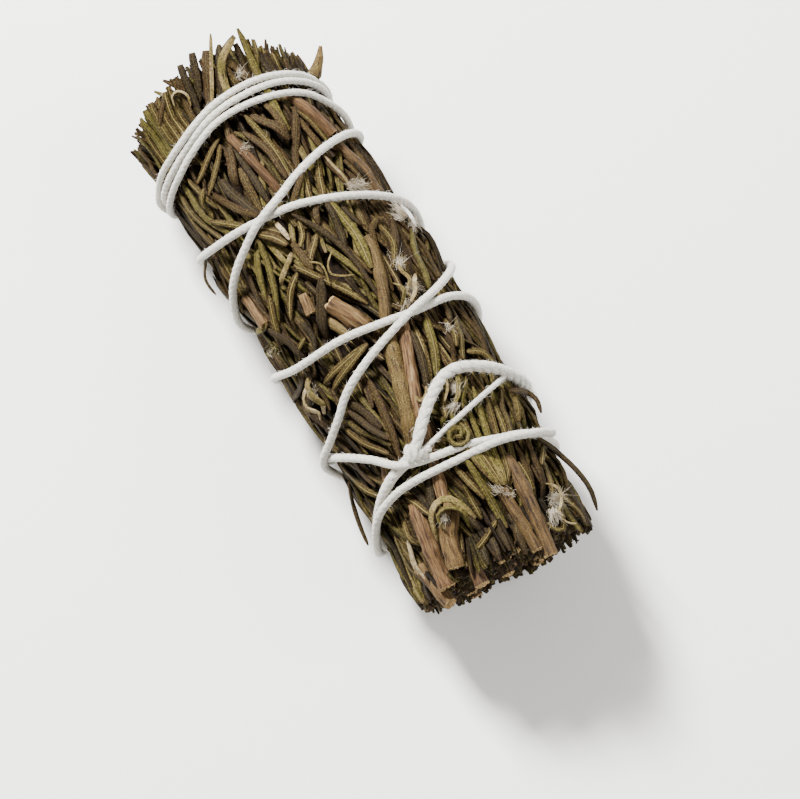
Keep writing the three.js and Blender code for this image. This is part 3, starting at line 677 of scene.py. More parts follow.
def add_leaf(x, degrees, heights, width, tint, rib, shade, roll, tip_cut=False, root_cut=False):
    """Keeps a leaf, given by evenly spaced places from its root to its tip."""
    share = np.linspace(0, 1, len(x))
    at_x, at_degrees, at_height, at_roll = (
        np.interp(STATIONS, share, values) for values in (x, degrees, heights, roll))
    outline = LEAF_OUTLINE * leaf_random.normal(1, SHRINKING, len(STATIONS))
    if tip_cut:
        outline[-3:] = CUT_OUTLINE[-3:]
    if root_cut:
        outline[:3] = CUT_OUTLINE[:3]
    points = place(at_x, at_degrees, leaf_radius(at_x, at_degrees) + at_height)
    points[:, 2] = np.maximum(points[:, 2], LEAF_UNDERSIDE * width * outline)
    leaves.append({
        "points": points,
        "lie": lie_along(points, outward(at_degrees), at_roll),
        "girth": outline * width / LEAF_WIDTH,
        "along": STATIONS,
        "tint": np.full(len(points), tint),
        "rib": np.full(len(points), rib),
        "shade": depth_shade(at_height) * shade,
        "sprig": sector_of(at_degrees[0]),
    })


heading_field = smooth_field(SEED + 1, 22)
colour_field = smooth_field(SEED + 2, 26)
lump_field = smooth_field(SEED + 3, 15)


# The front of the bundle, read with a ruler held along and across it: steps of 0.1613 mm along it from beyond
# its leafy end, and across it from above its upper side
FRONT_STEP = 0.1613
FRONT_START = -57.3  # x where the ruler begins
FRONT_FIRST_START = -53  # the same for a first guess, which leaves out that the front is seen at a slant
FRONT_SLANT = 0.242  # how much further along a place looks for each millimetre of height
FRONT_SHORTENING = 0.97
FRONT_TURN = 8.4  # how far round towards -Y the middle of the front lies, in degrees
FRONT_HALF = 72  # how far it reaches to each side of its middle, in degrees
FRONT_MIDDLE = 130
FRONT_BEND = 9.9
OUTLINE_SINE = 0.98


def front_place(along, across):
    """x, the angle, and how far beyond the bundle's outline a place is that is read off the front."""
    reach = FRONT_STEP * np.asarray(along, float)
    x = reach + FRONT_FIRST_START
    for _ in range(4):
        radius = barrel_radius(x) + flare(x)
        sine = (FRONT_MIDDLE + FRONT_BEND * end_share(x) - np.asarray(across, float)) * FRONT_STEP / radius
        turn = np.arcsin(np.clip(sine, -OUTLINE_SINE, OUTLINE_SINE))
        x = (reach + FRONT_SLANT * radius * np.cos(turn)) / FRONT_SHORTENING + FRONT_START
    beyond = radius * np.maximum(np.abs(sine) / OUTLINE_SINE - 1, 0)
    return x, np.degrees(turn) - FRONT_TURN, beyond


def front_line(route):
    """A smooth line in millimetres, and its angles, through places on the front with their heights."""
    line = smooth_line(route)
    x, degrees, beyond = front_place(line[:, 0], line[:, 1])
    return place(x, degrees, leaf_radius(x, degrees) + line[:, 2] + beyond), degrees


def is_front(degrees):
    turned = np.mod(np.asarray(degrees) + FRONT_TURN + 180, 360) - 180
    return np.abs(turned) < FRONT_HALF


# Where the bundle ends
CUT_SHORT = 3.5
CUT_SLANT = 1.6
CUT_TURN = 50  # the angle at which the cut end reaches furthest
TIPS_BEYOND = 1.6
TIPS_TURN = 16  # degrees round the bundle for each millimetre that the tips are shorter
TIPS_SHORTEST = 4.6


def snipped_at(degrees, radius=END_RADIUS):
    """Where the bundle is snipped off. The cut slants a little."""
    slant = CUT_SLANT * radius / END_RADIUS * np.cos(np.radians(degrees - CUT_TURN))
    return HALF_LENGTH - CUT_SHORT + slant


def tips_at(degrees, radius=END_RADIUS):
    """Where the leaf tips end: furthest along the top, and shorter and shorter round the sides."""
    turned = np.abs(np.mod(degrees + 180, 360) - 180)
    shorter = np.minimum(turned / TIPS_TURN, TIPS_SHORTEST) * (radius / END_RADIUS) ** 2
    return -HALF_LENGTH - TIPS_BEYOND + shorter


# Deep gaps between the leaves of the front: along, across, and half their size along and across
GAPS = [
    (136, 99, 15, 6), (60, 150, 10, 14), (243, 217, 9, 6), (262, 125, 16, 8), (300, 112, 18, 5),
    (332, 176, 16, 9), (392, 152, 22, 7), (452, 190, 12, 9), (590, 140, 22, 16), (555, 128, 14, 10),
    (610, 165, 12, 18), (500, 212, 14, 6), (215, 62, 8, 6), (350, 200, 9, 8), (120, 168, 10, 8),
]
GAP_DEPTH = 2.1
LUMP_DEPTH = 0.36
FRONT_ROOM = 0.75  # what the leaves laid at random leave for those that are read off the front
TIP_RISE = 0.7  # how much higher they lie among the leaf tips, which starts at TIP_RISE_FROM
TIP_RISE_FROM = -43
TIP_RISE_OVER = 3


def heap_limit(x, degrees):
    """How high the leaves that are laid at random may reach, under the leaf tops."""
    limit = -LUMP_DEPTH * (1 + lump_field(x, degrees))
    front = is_front(degrees)
    limit = np.where(front, np.minimum(limit, -FRONT_ROOM), limit)
    limit = limit + TIP_RISE * np.clip((TIP_RISE_FROM - x) / TIP_RISE_OVER, 0, 1)
    for along, across, half_along, half_across in GAPS:
        gap_x, gap_degrees, _ = front_place(along, across)
        far = ((x - gap_x) / (half_along * FRONT_STEP)) ** 2
        far = far + (np.radians(degrees - gap_degrees) * MIDDLE_RADIUS / (half_across * FRONT_STEP)) ** 2
        limit = np.where(front, limit - GAP_DEPTH * np.exp(-far), limit)
    return limit


# How the leaves that are laid at random differ
LENGTHS = (0.72, 1.22)
BROKEN_LENGTHS = (0.4, 0.6)
BROKEN_SHARE = 0.08
WIDTHS = (0.78, 1.15)
ROOTS_FROM_TO = (-46, 67)
HEADING_SWING = 17
BOW = 16
LEAF_STEPS = 21
FEWEST_POINTS = 7
TORN_TIPS = 0.12
TORN_ROOTS = 0.05
TOO_HIGH_SHARE = 0.12
TINT_MIDDLE = 0.45
TINT_SWING = 0.19
TINT_SPREAD = 0.14
TINTS_FROM_TO = (0.08, 0.82)
RIBS = [0, 0.3, 0.8]
RIB_SHARES = [0.5, 0.28, 0.22]


def covered(shares, length):
    """How far a leaf's line has gone at each of its points, where each step covers a share of its length."""
    return length * np.concatenate([[0], np.cumsum(shares[1:])]) / LEAF_STEPS


def rolled(random, count, spread, twist, upside_down):
    """How far a leaf is rolled at each of its points. A share of the leaves lies upside down."""
    roll = random.normal(0, spread) + np.linspace(-1, 1, count) * random.normal(0, twist)
    return roll + 180 if random.random() < upside_down else roll


def lay_leaves(random, count, spread):
    """Lays leaves at random, in headings that differ by a spread, and leaves out those that find no room."""
    for _ in range(count):
        length = LEAF_LENGTH * random.uniform(*LENGTHS)
        if random.random() < BROKEN_SHARE:
            length *= random.uniform(*BROKEN_LENGTHS)
        width = LEAF_WIDTH * random.uniform(*WIDTHS)
        x0 = random.uniform(*ROOTS_FROM_TO)
        degrees0 = random.uniform(-180, 180)
        middle_x = x0 - length / 2
        heading = HEADING_SWING * float(heading_field(middle_x, degrees0)) + random.normal(0, spread)
        angle = np.radians(heading + random.normal(0, BOW) * (np.linspace(0, 1, LEAF_STEPS + 1) - 0.5))
        x = x0 - covered(np.cos(angle), length)
        arc = np.radians(degrees0) * MIDDLE_RADIUS + covered(np.sin(angle), length)
        ragged = random.uniform(0, END_RAGGEDNESS)
        tip_degrees = np.degrees(arc[-1] / MIDDLE_RADIUS)
        x = x + max(0, tips_at(tip_degrees) + ragged - x[-1])
        inside = x < snipped_at(degrees0) - ragged * 0.8
        if inside.sum() < FEWEST_POINTS:
            continue
        tip_cut = random.random() < TORN_TIPS
        root_cut = bool(not inside[0]) or random.random() < TORN_ROOTS
        x, arc = x[inside], arc[inside]
        degrees = np.degrees(arc / MIDDLE_RADIUS)
        cells = footprint(x, arc, width)
        heights = settled(heap[cells].max(1), LEAF_STIFFNESS) + thickness_of(width) * LEAF_REST
        if np.mean(heights + thickness_of(width) * LEAF_TOP > heap_limit(x, degrees)) > TOO_HIGH_SHARE:
            continue
        raise_heap(cells, heights, width)
        tint = TINT_MIDDLE + TINT_SWING * float(colour_field(middle_x, degrees0))
        tint = tint + random.normal(0, TINT_SPREAD)
        rib = random.choice(RIBS, p=RIB_SHARES)
        roll = rolled(random, len(x), spread=24, twist=14, upside_down=0.4)
        add_leaf(x, degrees, heights, width, float(np.clip(tint, *TINTS_FROM_TO)), rib, 1, roll, tip_cut,
                 root_cut)


# Leaves that show on the front, from below to above: kind, width, and places along and across
OLIVE, GREEN, BROWN, DARK, PALE = 0.52, 0.74, 0.34, 0.14, 0.9
FRONT_RIBS = {OLIVE: 0.7, GREEN: 0.4, BROWN: 0.15, DARK: 0.1, PALE: 0.0}
FRONT_WIDTH = 0.93  # the widths are read a little too wide
FRONT_HIGHEST = 0.35
TORN_BEFORE = -45.2  # leaves whose tips lie before this x may be torn off
FRONT_LEAVES = [
    # The leafy end
    (BROWN, 9, [(92, 54), (80, 50), (65, 48)]),
    (OLIVE, 8, [(92, 60), (75, 57), (54, 56)]),
    (DARK, 8, [(88, 67), (70, 65), (51, 64)]),
    (DARK, 8, [(86, 72), (68, 70), (49, 69)]),
    (OLIVE, 8, [(96, 82), (60, 76), (34, 69)]),
    (DARK, 8, [(92, 90), (60, 89), (30, 87)]),
    (BROWN, 10, [(80, 92), (58, 95), (44, 101), (37, 108)]),
    (BROWN, 8, [(90, 106), (66, 106), (44, 108)]),
    (GREEN, 10, [(132, 88), (95, 86), (60, 82), (17, 78)]),
    (BROWN, 8, [(70, 133), (48, 120), (31, 104), (22, 84)]),
    (DARK, 11, [(72, 130), (50, 117), (22, 103)]),
    (BROWN, 11, [(76, 148), (50, 134), (20, 117)]),
    (DARK, 10, [(66, 166), (46, 144), (14, 130)]),
    (DARK, 9, [(76, 160), (50, 154), (18, 147)]),
    (BROWN, 9, [(84, 166), (55, 165), (26, 160)]),
    (OLIVE, 8, [(90, 174), (58, 176), (30, 168)]),
    (OLIVE, 9, [(96, 180), (62, 184), (33, 174)]),
    (OLIVE, 9, [(100, 188), (62, 189), (33, 183)]),
    (OLIVE, 10, [(104, 197), (66, 196), (34, 192)]),
    (GREEN, 10, [(108, 205), (72, 204), (37, 200)]),
    (GREEN, 10, [(112, 212), (78, 212), (41, 208)]),
    (OLIVE, 9, [(115, 220), (82, 219), (45, 216)]),
    (GREEN, 8, [(118, 226), (88, 226), (52, 223)]),
    (BROWN, 10, [(106, 229), (86, 231), (62, 233)]),
    (OLIVE, 7, [(126, 235), (108, 237), (92, 239)]),
    # Between the three turns and the first crossing
    (BROWN, 8, [(160, 43), (140, 44), (118, 49)]),
    (OLIVE, 8, [(165, 57), (140, 62), (112, 70)]),
    (BROWN, 8, [(166, 66), (145, 70), (124, 73)]),
    (BROWN, 8, [(142, 92), (118, 92), (94, 94)]),
    (BROWN, 11, [(140, 93), (118, 101), (97, 112)]),
    (OLIVE, 9, [(172, 112), (135, 112), (95, 118)]),
    (BROWN, 9, [(172, 117), (138, 118), (108, 129)]),
    (DARK, 9, [(182, 146), (150, 146), (118, 147)]),
    (BROWN, 10, [(186, 158), (160, 155), (138, 152)]),
    (BROWN, 12, [(152, 164), (134, 158), (114, 150)]),
    (DARK, 12, [(190, 160), (165, 170), (137, 176)]),
    (BROWN, 10, [(189, 162), (166, 180), (143, 194)]),
    (OLIVE, 8, [(127, 199), (112, 178), (98, 155)]),
    (OLIVE, 8, [(144, 195), (126, 177), (106, 157)]),
    (OLIVE, 8, [(160, 194), (140, 199), (117, 206)]),
    (OLIVE, 8, [(165, 206), (150, 203), (136, 193)]),
    (GREEN, 9, [(193, 198), (158, 212), (117, 215)]),
    (OLIVE, 9, [(195, 208), (160, 220), (122, 222)]),
    (OLIVE, 8, [(197, 218), (165, 226), (128, 229)]),
    (DARK, 8, [(200, 230), (165, 233), (134, 236)]),
    (OLIVE, 9, [(228, 152), (196, 176), (166, 208)]),
    (OLIVE, 8, [(222, 146), (206, 160), (188, 181)]),
    (BROWN, 10, [(168, 100), (142, 85), (114, 70)]),
    (OLIVE, 9, [(216, 98), (192, 88), (168, 76)]),
    (OLIVE, 9, [(222, 112), (198, 106), (176, 98)]),
    (GREEN, 9, [(204, 120), (190, 112), (178, 104)]),
    (BROWN, 9, [(216, 62), (194, 66), (168, 72)]),
    (DARK, 8, [(216, 44), (200, 46), (187, 44)]),
    (BROWN, 8, [(232, 36), (200, 36), (150, 40)]),
    (PALE, 4, [(226, 61), (200, 65), (172, 72)]),
    (BROWN, 8, [(176, 100), (196, 124), (212, 132)]),
    # Middle
    (DARK, 7, [(342, 29), (305, 25), (262, 34)]),
    (BROWN, 7, [(345, 35), (310, 32), (268, 38)]),
    (DARK, 7, [(342, 22), (310, 22), (280, 27)]),
    (BROWN, 10, [(304, 71), (282, 56), (262, 43)]),
    (GREEN, 10, [(343, 51), (306, 44), (281, 36)]),
    (OLIVE, 8, [(305, 74), (286, 63), (262, 60)]),
    (BROWN, 9, [(322, 84), (285, 77), (262, 71), (253, 61), (258, 52)]),
    (DARK, 8, [(250, 77), (236, 80), (220, 82)]),
    (GREEN, 12, [(293, 92), (255, 87), (216, 93)]),
    (DARK, 9, [(262, 104), (240, 98), (214, 97)]),
    (BROWN, 8, [(228, 114), (216, 110), (204, 100)]),
    (OLIVE, 9, [(258, 146), (246, 134), (234, 121)]),
    (BROWN, 9, [(264, 144), (245, 146), (228, 148)]),
    (OLIVE, 7, [(238, 143), (226, 134), (214, 130)]),
    (DARK, 7, [(320, 101), (276, 103), (240, 113), (205, 132)]),
    (OLIVE, 9, [(320, 115), (298, 127), (274, 143), (250, 158)]),
    (PALE, 6, [(226, 148), (214, 149), (201, 152)]),
    (OLIVE, 10, [(230, 152), (216, 160), (204, 172)]),
    (OLIVE, 9, [(294, 193), (273, 180), (257, 160)]),
    (GREEN, 10, [(264, 203), (236, 194), (206, 180)]),
    (GREEN, 10, [(292, 207), (252, 188), (211, 174)]),
    (OLIVE, 9, [(310, 214), (285, 205), (262, 196)]),
    (PALE, 7, [(258, 183), (248, 168), (238, 153)]),
    (OLIVE, 6, [(332, 211), (323, 204), (315, 192)]),
    (DARK, 9, [(336, 190), (318, 184), (300, 186)]),
    (DARK, 9, [(334, 204), (312, 206), (290, 213)]),
    (OLIVE, 8, [(262, 232), (240, 228), (204, 226)]),
    (BROWN, 9, [(338, 228), (315, 231), (286, 230)]),
    (GREEN, 9, [(284, 216), (286, 223), (285, 231)]),
    (OLIVE, 9, [(353, 138), (357, 168), (364, 202)]),
    (OLIVE, 9, [(354, 138), (363, 166), (374, 196)]),
    (DARK, 16, [(326, 176), (300, 158), (276, 141)]),
    (BROWN, 8, [(350, 215), (358, 228), (367, 241)]),
    (DARK, 9, [(384, 228), (366, 216), (346, 206)]),
    # From the second crossing to the knot
    (DARK, 7, [(442, 31), (410, 25), (370, 28)]),
    (BROWN, 7, [(436, 38), (402, 33), (368, 36)]),
    (OLIVE, 10, [(418, 62), (398, 52), (380, 43)]),
    (OLIVE, 9, [(404, 63), (388, 56), (374, 52)]),
    (BROWN, 8, [(380, 52), (370, 48), (358, 47)]),
    (BROWN, 6, [(426, 72), (404, 67), (381, 63)]),
    (GREEN, 11, [(421, 96), (394, 83), (362, 72)]),
    (OLIVE, 9, [(424, 106), (394, 94), (363, 86)]),
    (DARK, 9, [(426, 112), (396, 100), (366, 93)]),
    (OLIVE, 10, [(441, 38), (424, 42), (413, 53)]),
    (BROWN, 12, [(467, 173), (430, 163), (384, 158)]),
    (DARK, 10, [(432, 172), (408, 180), (388, 192)]),
    (OLIVE, 8, [(452, 172), (432, 190), (402, 204)]),
    (DARK, 8, [(446, 170), (424, 182), (400, 192)]),
    (OLIVE, 8, [(458, 178), (440, 196), (412, 208)]),
    (BROWN, 8, [(432, 218), (404, 222), (372, 228)]),
    (PALE, 7, [(391, 217), (380, 212), (366, 219)]),
    (BROWN, 8, [(478, 212), (446, 218), (408, 220)]),
    (OLIVE, 9, [(496, 214), (470, 225), (438, 237)]),
    # The olive shoot whose leaves fan out from its stem
    (OLIVE, 9, [(547, 96), (538, 80), (516, 68), (464, 55)]),
    (OLIVE, 9, [(546, 97), (532, 84), (505, 76), (452, 61)]),
    (GREEN, 9, [(546, 98), (526, 90), (500, 84), (446, 70)]),
    (GREEN, 9, [(545, 99), (522, 96), (494, 92), (448, 82)]),
    (OLIVE, 9, [(544, 101), (518, 101), (490, 100), (456, 94)]),
    (GREEN, 9, [(543, 103), (516, 105), (490, 106), (450, 103)]),
    (OLIVE, 8, [(541, 105), (515, 109), (478, 112)]),
    (OLIVE, 10, [(507, 62), (486, 54), (463, 45)]),
    (OLIVE, 10, [(500, 46), (482, 40), (462, 36)]),
    (OLIVE, 8, [(458, 110), (446, 106), (434, 97)]),
    (GREEN, 8, [(480, 116), (466, 116), (455, 114)]),
    # The cut end
    (BROWN, 10, [(583, 62), (548, 56), (512, 48)]),
    (BROWN, 10, [(580, 70), (548, 66), (514, 58)]),
    (OLIVE, 8, [(584, 74), (560, 71), (532, 70)]),
    (OLIVE, 8, [(606, 46), (574, 36), (540, 38)]),
    (OLIVE, 9, [(578, 58), (562, 50), (545, 45)]),
    (OLIVE, 9, [(622, 48), (598, 49), (572, 50)]),
    (GREEN, 8, [(626, 56), (604, 58), (580, 54)]),
    (OLIVE, 8, [(548, 54), (538, 42), (528, 31)]),
    (OLIVE, 8, [(597, 82), (609, 77), (611, 69), (590, 61)]),
    (DARK, 8, [(612, 116), (594, 112), (578, 110)]),
    (GREEN, 10, [(579, 117), (545, 116), (502, 117)]),
    (OLIVE, 8, [(544, 122), (524, 126), (501, 130)]),
    (OLIVE, 8, [(557, 135), (540, 134), (522, 133)]),
    (DARK, 8, [(600, 128), (580, 126), (560, 124)]),
    (DARK, 8, [(604, 142), (586, 138), (566, 138)]),
    (DARK, 8, [(600, 154), (584, 152), (566, 152)]),
    (OLIVE, 8, [(584, 164), (577, 144), (568, 123)]),
    (DARK, 9, [(540, 178), (520, 170), (498, 160)]),
    (OLIVE, 8, [(535, 182), (520, 190), (506, 198)]),
    (OLIVE, 8, [(530, 176), (516, 184), (502, 192)]),
    (PALE, 8, [(591, 218), (566, 220), (540, 212)]),
    (OLIVE, 8, [(548, 206), (530, 210), (512, 214)]),
    (DARK, 9, [(584, 232), (536, 230), (483, 227)]),
    (OLIVE, 7, [(596, 224), (566, 226), (530, 222)]),
    (PALE, 4, [(491, 188), (488, 175), (484, 160)]),
]


def lay_front_leaves(random):
    """Lays the leaves that were read off the front on the heap, in their order."""
    for tint, width_steps, route in FRONT_LEAVES:
        line = smooth_line(route)
        even, _ = evenly(line, line, steps=LEAF_STEPS)
        x, degrees, _ = front_place(even[:, 0], even[:, 1])
        width = width_steps * FRONT_STEP * FRONT_WIDTH
        cells = footprint(x, np.radians(degrees) * MIDDLE_RADIUS, width)
        heights = settled(heap[cells].max(1), FRONT_STIFFNESS) + thickness_of(width) * LEAF_TOP
        heights = np.minimum(heights, FRONT_HIGHEST)
        raise_heap(cells, heights, width)
        rib = FRONT_RIBS[tint] * random.uniform(0.5, 1.2)
        roll = rolled(random, len(x), spread=12, twist=10, upside_down=0.35)
        torn = x.min() < TORN_BEFORE and random.random() < 0.5
        add_leaf(x, degrees, heights, width, tint + random.normal(0, 0.04), rib, 0.6, roll, tip_cut=torn)


heap_random = np.random.default_rng(SEED)
lay_leaves(heap_random, 5200, 14)
lay_leaves(heap_random, 2600, 26)
lay_front_leaves(heap_random)
print("leaves", len(leaves))


# The wood of the sprigs
WOOD_MATERIALS = [INSIDE, BARK, CUT]


def ring_mesh(rings, close_start=True, close_end=True):
    """Points and faces through rings of as many points each, closed at its ends by one face."""
    count = len(rings[0])
    points = np.vstack(rings)
    faces = []
    for i in range(len(rings) - 1):
        for j in range(count):
            k = (j + 1) % count
            faces.append((i * count + j, i * count + k, (i + 1) * count + k, (i + 1) * count + j))
    if close_start:
        faces.append(tuple(range(count))[::-1])
    if close_end:
        last = (len(rings) - 1) * count
        faces.append(tuple(last + j for j in range(count)))
    return points, faces


class Wood:
    """The stems and the dense inside of one sprig, gathered into one mesh."""

    def __init__(self):
        self.points = []
        self.faces = []
        self.materials = []
        self.values = {"bark_at": [], "tint": [], "rib": []}
        self.count = 0

    def add(self, points, faces, material, bark_at=None, tint=0.5, rib=0.0):
        self.points.append(points)
        self.faces += [tuple(i + self.count for i in face) for face in faces]
        self.materials += [WOOD_MATERIALS.index(material)] * len(faces)
        self.values["bark_at"].append(np.zeros((len(points), 3)) if bark_at is None else bark_at)
        self.values["tint"].append(np.full(len(points), tint))
        self.values["rib"].append(np.full(len(points), rib))
        self.count += len(points)

    def piece(self, name):
        mesh = bpy.data.meshes.new(name)
        mesh.from_pydata((np.vstack(self.points) * MM).tolist(), [], self.faces)
        for material in WOOD_MATERIALS:
            mesh.materials.append(material)
        mesh.polygons.foreach_set("material_index", self.materials)
        for key, arrays in self.values.items():
            set_values(mesh, key, np.concatenate(arrays))
        mesh.shade_smooth()
        return bpy.data.objects.new(name, mesh)


INSIDE_FROM_TO = (-45, 43.2)


def add_inside(wood, low, high, inner, outer_depth):
    """The dense inside of a sprig between two angles, from an inner radius to a depth under the leaf tops."""
    degrees = np.linspace(low, high, 7)
    rings = []
    for x in np.linspace(*INSIDE_FROM_TO, 24):
        outer = place(x, degrees, leaf_radius(x, degrees) - outer_depth)
        inward = place(x, degrees[::-1], inner)
        rings.append(np.vstack([outer, inward]))
    wood.add(*ring_mesh(rings), INSIDE)


STEM_CORNERS = 14
STEM_STEP = 0.7
NODE_SPACING = 6
NODE_SWELLING = 0.14
NODE_LENGTH = 0.7
# How a cut face is torn from its rim inwards: the share of the rim, and how far the fibres stand out
TORN_RINGS = [(0.93, 0.2), (0.62, 0.14), (0.3, 0.1)]


def add_stem(wood, random, line, diameter, tint, rib, cut_start=False, cut_end=True):
    """A woody stem along a line of points: a little angular, swollen at its nodes, snipped off rough."""
    even, length = evenly(line, line, STEM_STEP)
    tangent = unit(np.gradient(even, axis=0))
    side = unit(np.cross(tangent, [0.3, 0.2, 1]))
    up = np.cross(side, tangent)
    angle = np.linspace(0, 2 * math.pi, STEM_CORNERS, endpoint=False)
    circle = np.column_stack([np.cos(angle), np.sin(angle)])
    reach = np.linspace(0, length, len(even))
    first_node = random.uniform(0, NODE_SPACING)
    rings = []
    bark_at = []
    for i, point in enumerate(even):
        past_node = (reach[i] - first_node + NODE_SPACING / 2) % NODE_SPACING - NODE_SPACING / 2
        swelling = NODE_SWELLING * math.exp(-(past_node / NODE_LENGTH) ** 2)
        ridges = 0.06 * np.cos(4 * angle + 0.4) + random.normal(0, 0.025, STEM_CORNERS)
        radius = diameter / 2 * (1 + swelling + ridges)[:, None]
        rings.append(point + (side[i] * circle[:, :1] + up[i] * circle[:, 1:]) * radius)
        bark_at.append(np.column_stack([circle * 0.8, np.full(STEM_CORNERS, reach[i] * 0.07)]))
    points, faces = ring_mesh(rings, close_start=not cut_start, close_end=not cut_end)
    wood.add(points, faces, BARK, np.vstack(bark_at) + random.uniform(0, 50), tint, rib)
    for is_cut, ring, direction in ((cut_start, rings[0], -tangent[0]), (cut_end, rings[-1], tangent[-1])):
        if is_cut:
            add_cut(wood, random, ring, direction, diameter, tint)


def add_cut(wood, random, ring, direction, diameter, tint):
    """A torn cut face that closes a stem's last ring."""
    middle = ring.mean(0)
    rings = [ring]
    for share, jut in TORN_RINGS:
        torn = random.normal(jut, 0.16, STEM_CORNERS) * diameter / 2.4
        rings.append(middle + (ring - middle) * share + direction * torn[:, None])
    points, faces = ring_mesh(rings, close_start=False, close_end=True)
    outwards = np.cross(ring[1] - ring[0], rings[1][0] - ring[0]) @ (ring[0] - middle + direction)
    if outwards < 0:
        faces = [face[::-1] for face in faces]
    wood.add(points, faces, CUT, tint=tint)


# Stems that show on the front: diameter, colour, dustiness, places with a height, and which ends are snipped
FRONT_STEMS = [
    (1.5, 0.5, 0.1, [(186, 129, -1.6), (160, 133, -0.5), (114, 142, -0.5), (106, 144, -1.4)], (False, False)),
    (1.9, 0.5, 0.1, [(98, 66, -1.6), (116, 60, -0.5), (156, 49, -0.5)], (False, True)),
    (1.7, 0.42, 0.3, [(164, 50, -0.9), (200, 43, -0.6), (236, 38, -1.2)], (True, False)),
    (1.9, 0.38, 0.5, [(264, 74, -1.8), (292, 84, -0.8), (322, 96, -0.7), (352, 112, -1.6)], (False, False)),
    (2.9, 0.62, 0.2, [(301, 149, -0.6), (316, 141, -0.8), (338, 130, -1.8)], (True, False)),
    (1.8, 0.62, 0.3, [(278, 169, -1.4), (298, 172, -1.1)], (False, True)),
    (1.7, 0.8, 0.9, [(312, 161, -1.4), (338, 149, -1.6)], (True, False)),
    (1.8, 0.6, 0.2, [(250, 227, -1.4), (284, 220, -0.9)], (False, True)),
    (2.0, 0.66, 0.0, [(350, 92, -1.8), (366, 99, -0.7), (424, 125, -0.7), (470, 140, -0.9), (524, 160, -1.4)],
     (False, False)),
    (2.7, 0.42, 0.7, [(352, 110, -1.8), (368, 118, -1.0), (430, 140, -0.9), (470, 160, -1.6)],
     (False, False)),
    (1.8, 0.45, 0.4, [(540, 99, -1.0), (560, 102, -0.3), (614, 104, -0.3)], (False, True)),
    (2.2, 0.4, 0.3, [(520, 76, -1.6), (545, 80, -0.6), (600, 89, -0.5), (625, 94, -0.6)], (False, True)),
    (3.0, 0.55, 0.4, [(530, 152, -1.4), (553, 172, -0.5), (586, 183, -0.5)], (False, True)),
    (2.2, 0.4, 0.1, [(580, 172, -2.6), (612, 175, -2.2)], (False, True)),
    (2.7, 0.6, 0.1, [(512, 190, -1.8), (545, 194, -0.7), (598, 203, -0.6)], (False, True)),
    (2.3, 0.5, 0.3, [(570, 222, -1.6), (614, 212, -1.0)], (False, True)),
    (2.2, 0.6, 0.3, [(458, 190, -1.6), (480, 200, -1.2)], (False, True)),
]


woods = [Wood() for _ in range(OUTER_SPRIGS + INNER_SPRIGS)]
wood_random = np.random.default_rng(SEED + 7)
for i in range(OUTER_SPRIGS):
    add_inside(woods[i], (i - 0.5) * SECTOR, (i + 0.5) * SECTOR, INNER_RADIUS, SHELL_DEPTH)
for i in range(INNER_SPRIGS):
    add_inside(woods[OUTER_SPRIGS + i], INNER_TURN + i * THIRD, INNER_TURN + (i + 1) * THIRD, 0.3,
               MIDDLE_RADIUS - INNER_RADIUS)
for diameter, tint, rib, route, (cut_start, cut_end) in FRONT_STEMS:
    line, degrees = front_line([(along, across, height - diameter * 0.12) for along, across, height in route])
    add_stem(woods[sector_of(degrees.mean())], wood_random, line, diameter, tint, rib, cut_start, cut_end)

FAR_STEMS = 16
FAR_DIAMETERS = (1.4, 2.5)
FAR_MIDDLES = (-32, 38)
FAR_HALF_LENGTHS = (4, 10)
FAR_DEGREES = (102, 245)


def add_far_stems(random):
    """Stems that show between the leaves of the far side. Their ends dip under the leaves."""
    for _ in range(FAR_STEMS):
        t = np.linspace(-1, 1, 9)
        diameter = random.uniform(*FAR_DIAMETERS)
        x = random.uniform(*FAR_MIDDLES) + random.uniform(*FAR_HALF_LENGTHS) * t
        degrees = random.uniform(*FAR_DEGREES) + random.normal(0, 9) * t + random.normal(0, 4) * t * t
        depth = random.uniform(0.7, 1.0) + 1.3 * t**4
        radius = above_floor(degrees, leaf_radius(x, degrees) - depth, diameter * 0.62)
        add_stem(woods[sector_of(degrees.mean())], random, place(x, degrees, radius), diameter,
                 random.uniform(0.35, 0.62), random.uniform(0.1, 0.8), True, True)


add_far_stems(np.random.default_rng(SEED + 9))

# The ends: leaves and shoots that stop in both faces of the bundle, with crumbs between them
LEAFY_END, CUT_END = -1, 1
END_START = 9  # how far inside each end they start
END_TRIES = 5200
END_STEPS = 7
SHOOT_SIZE = 1.2
END_STEM_SIZE = 2.0
END_STEM_SHARES = {LEAFY_END: 0.01, CUT_END: 0.1}
CLOSEST = 0.44  # how near two may lie, as a share of their sizes together
TIP_TAPERS = {True: (0.97, 0.86, 0.6), False: (0.95, 0.78, 0.35)}  # of blunt and of pointed leaves
END_TINTS = {LEAFY_END: 0.44, CUT_END: 0.38}
END_FLARE = 0.07  # how much the shoots of the leafy end spread
CRUMB_SIZE = 0.62
CRUMB_COUNTS = {LEAFY_END: 90, CUT_END: 420}
CRUMB_DEPTHS = (0.3, 2.6)
CRUMB_TINTS = [0.1, 0.3, 0.5, 0.85]
CRUMB_TINT_SHARES = [0.35, 0.35, 0.2, 0.1]
crumbs = []


def inner_or_outer(degrees, radius):
    """The number of the sprig that holds a place inside the bundle."""
    if radius > INNER_RADIUS + 0.6:
        return sector_of(degrees)
    return OUTER_SPRIGS + int(((degrees - INNER_TURN) % 360) // THIRD)


def add_crumb(random, spot, sprig, size, tint):
    crumbs.append({"spot": spot, "turn": random.uniform(0, 6.28, 3), "tint": tint, "sprig": sprig,
                   "size": size * random.uniform((0.6, 0.6, 0.5), (1.6, 1.1, 1.0))})


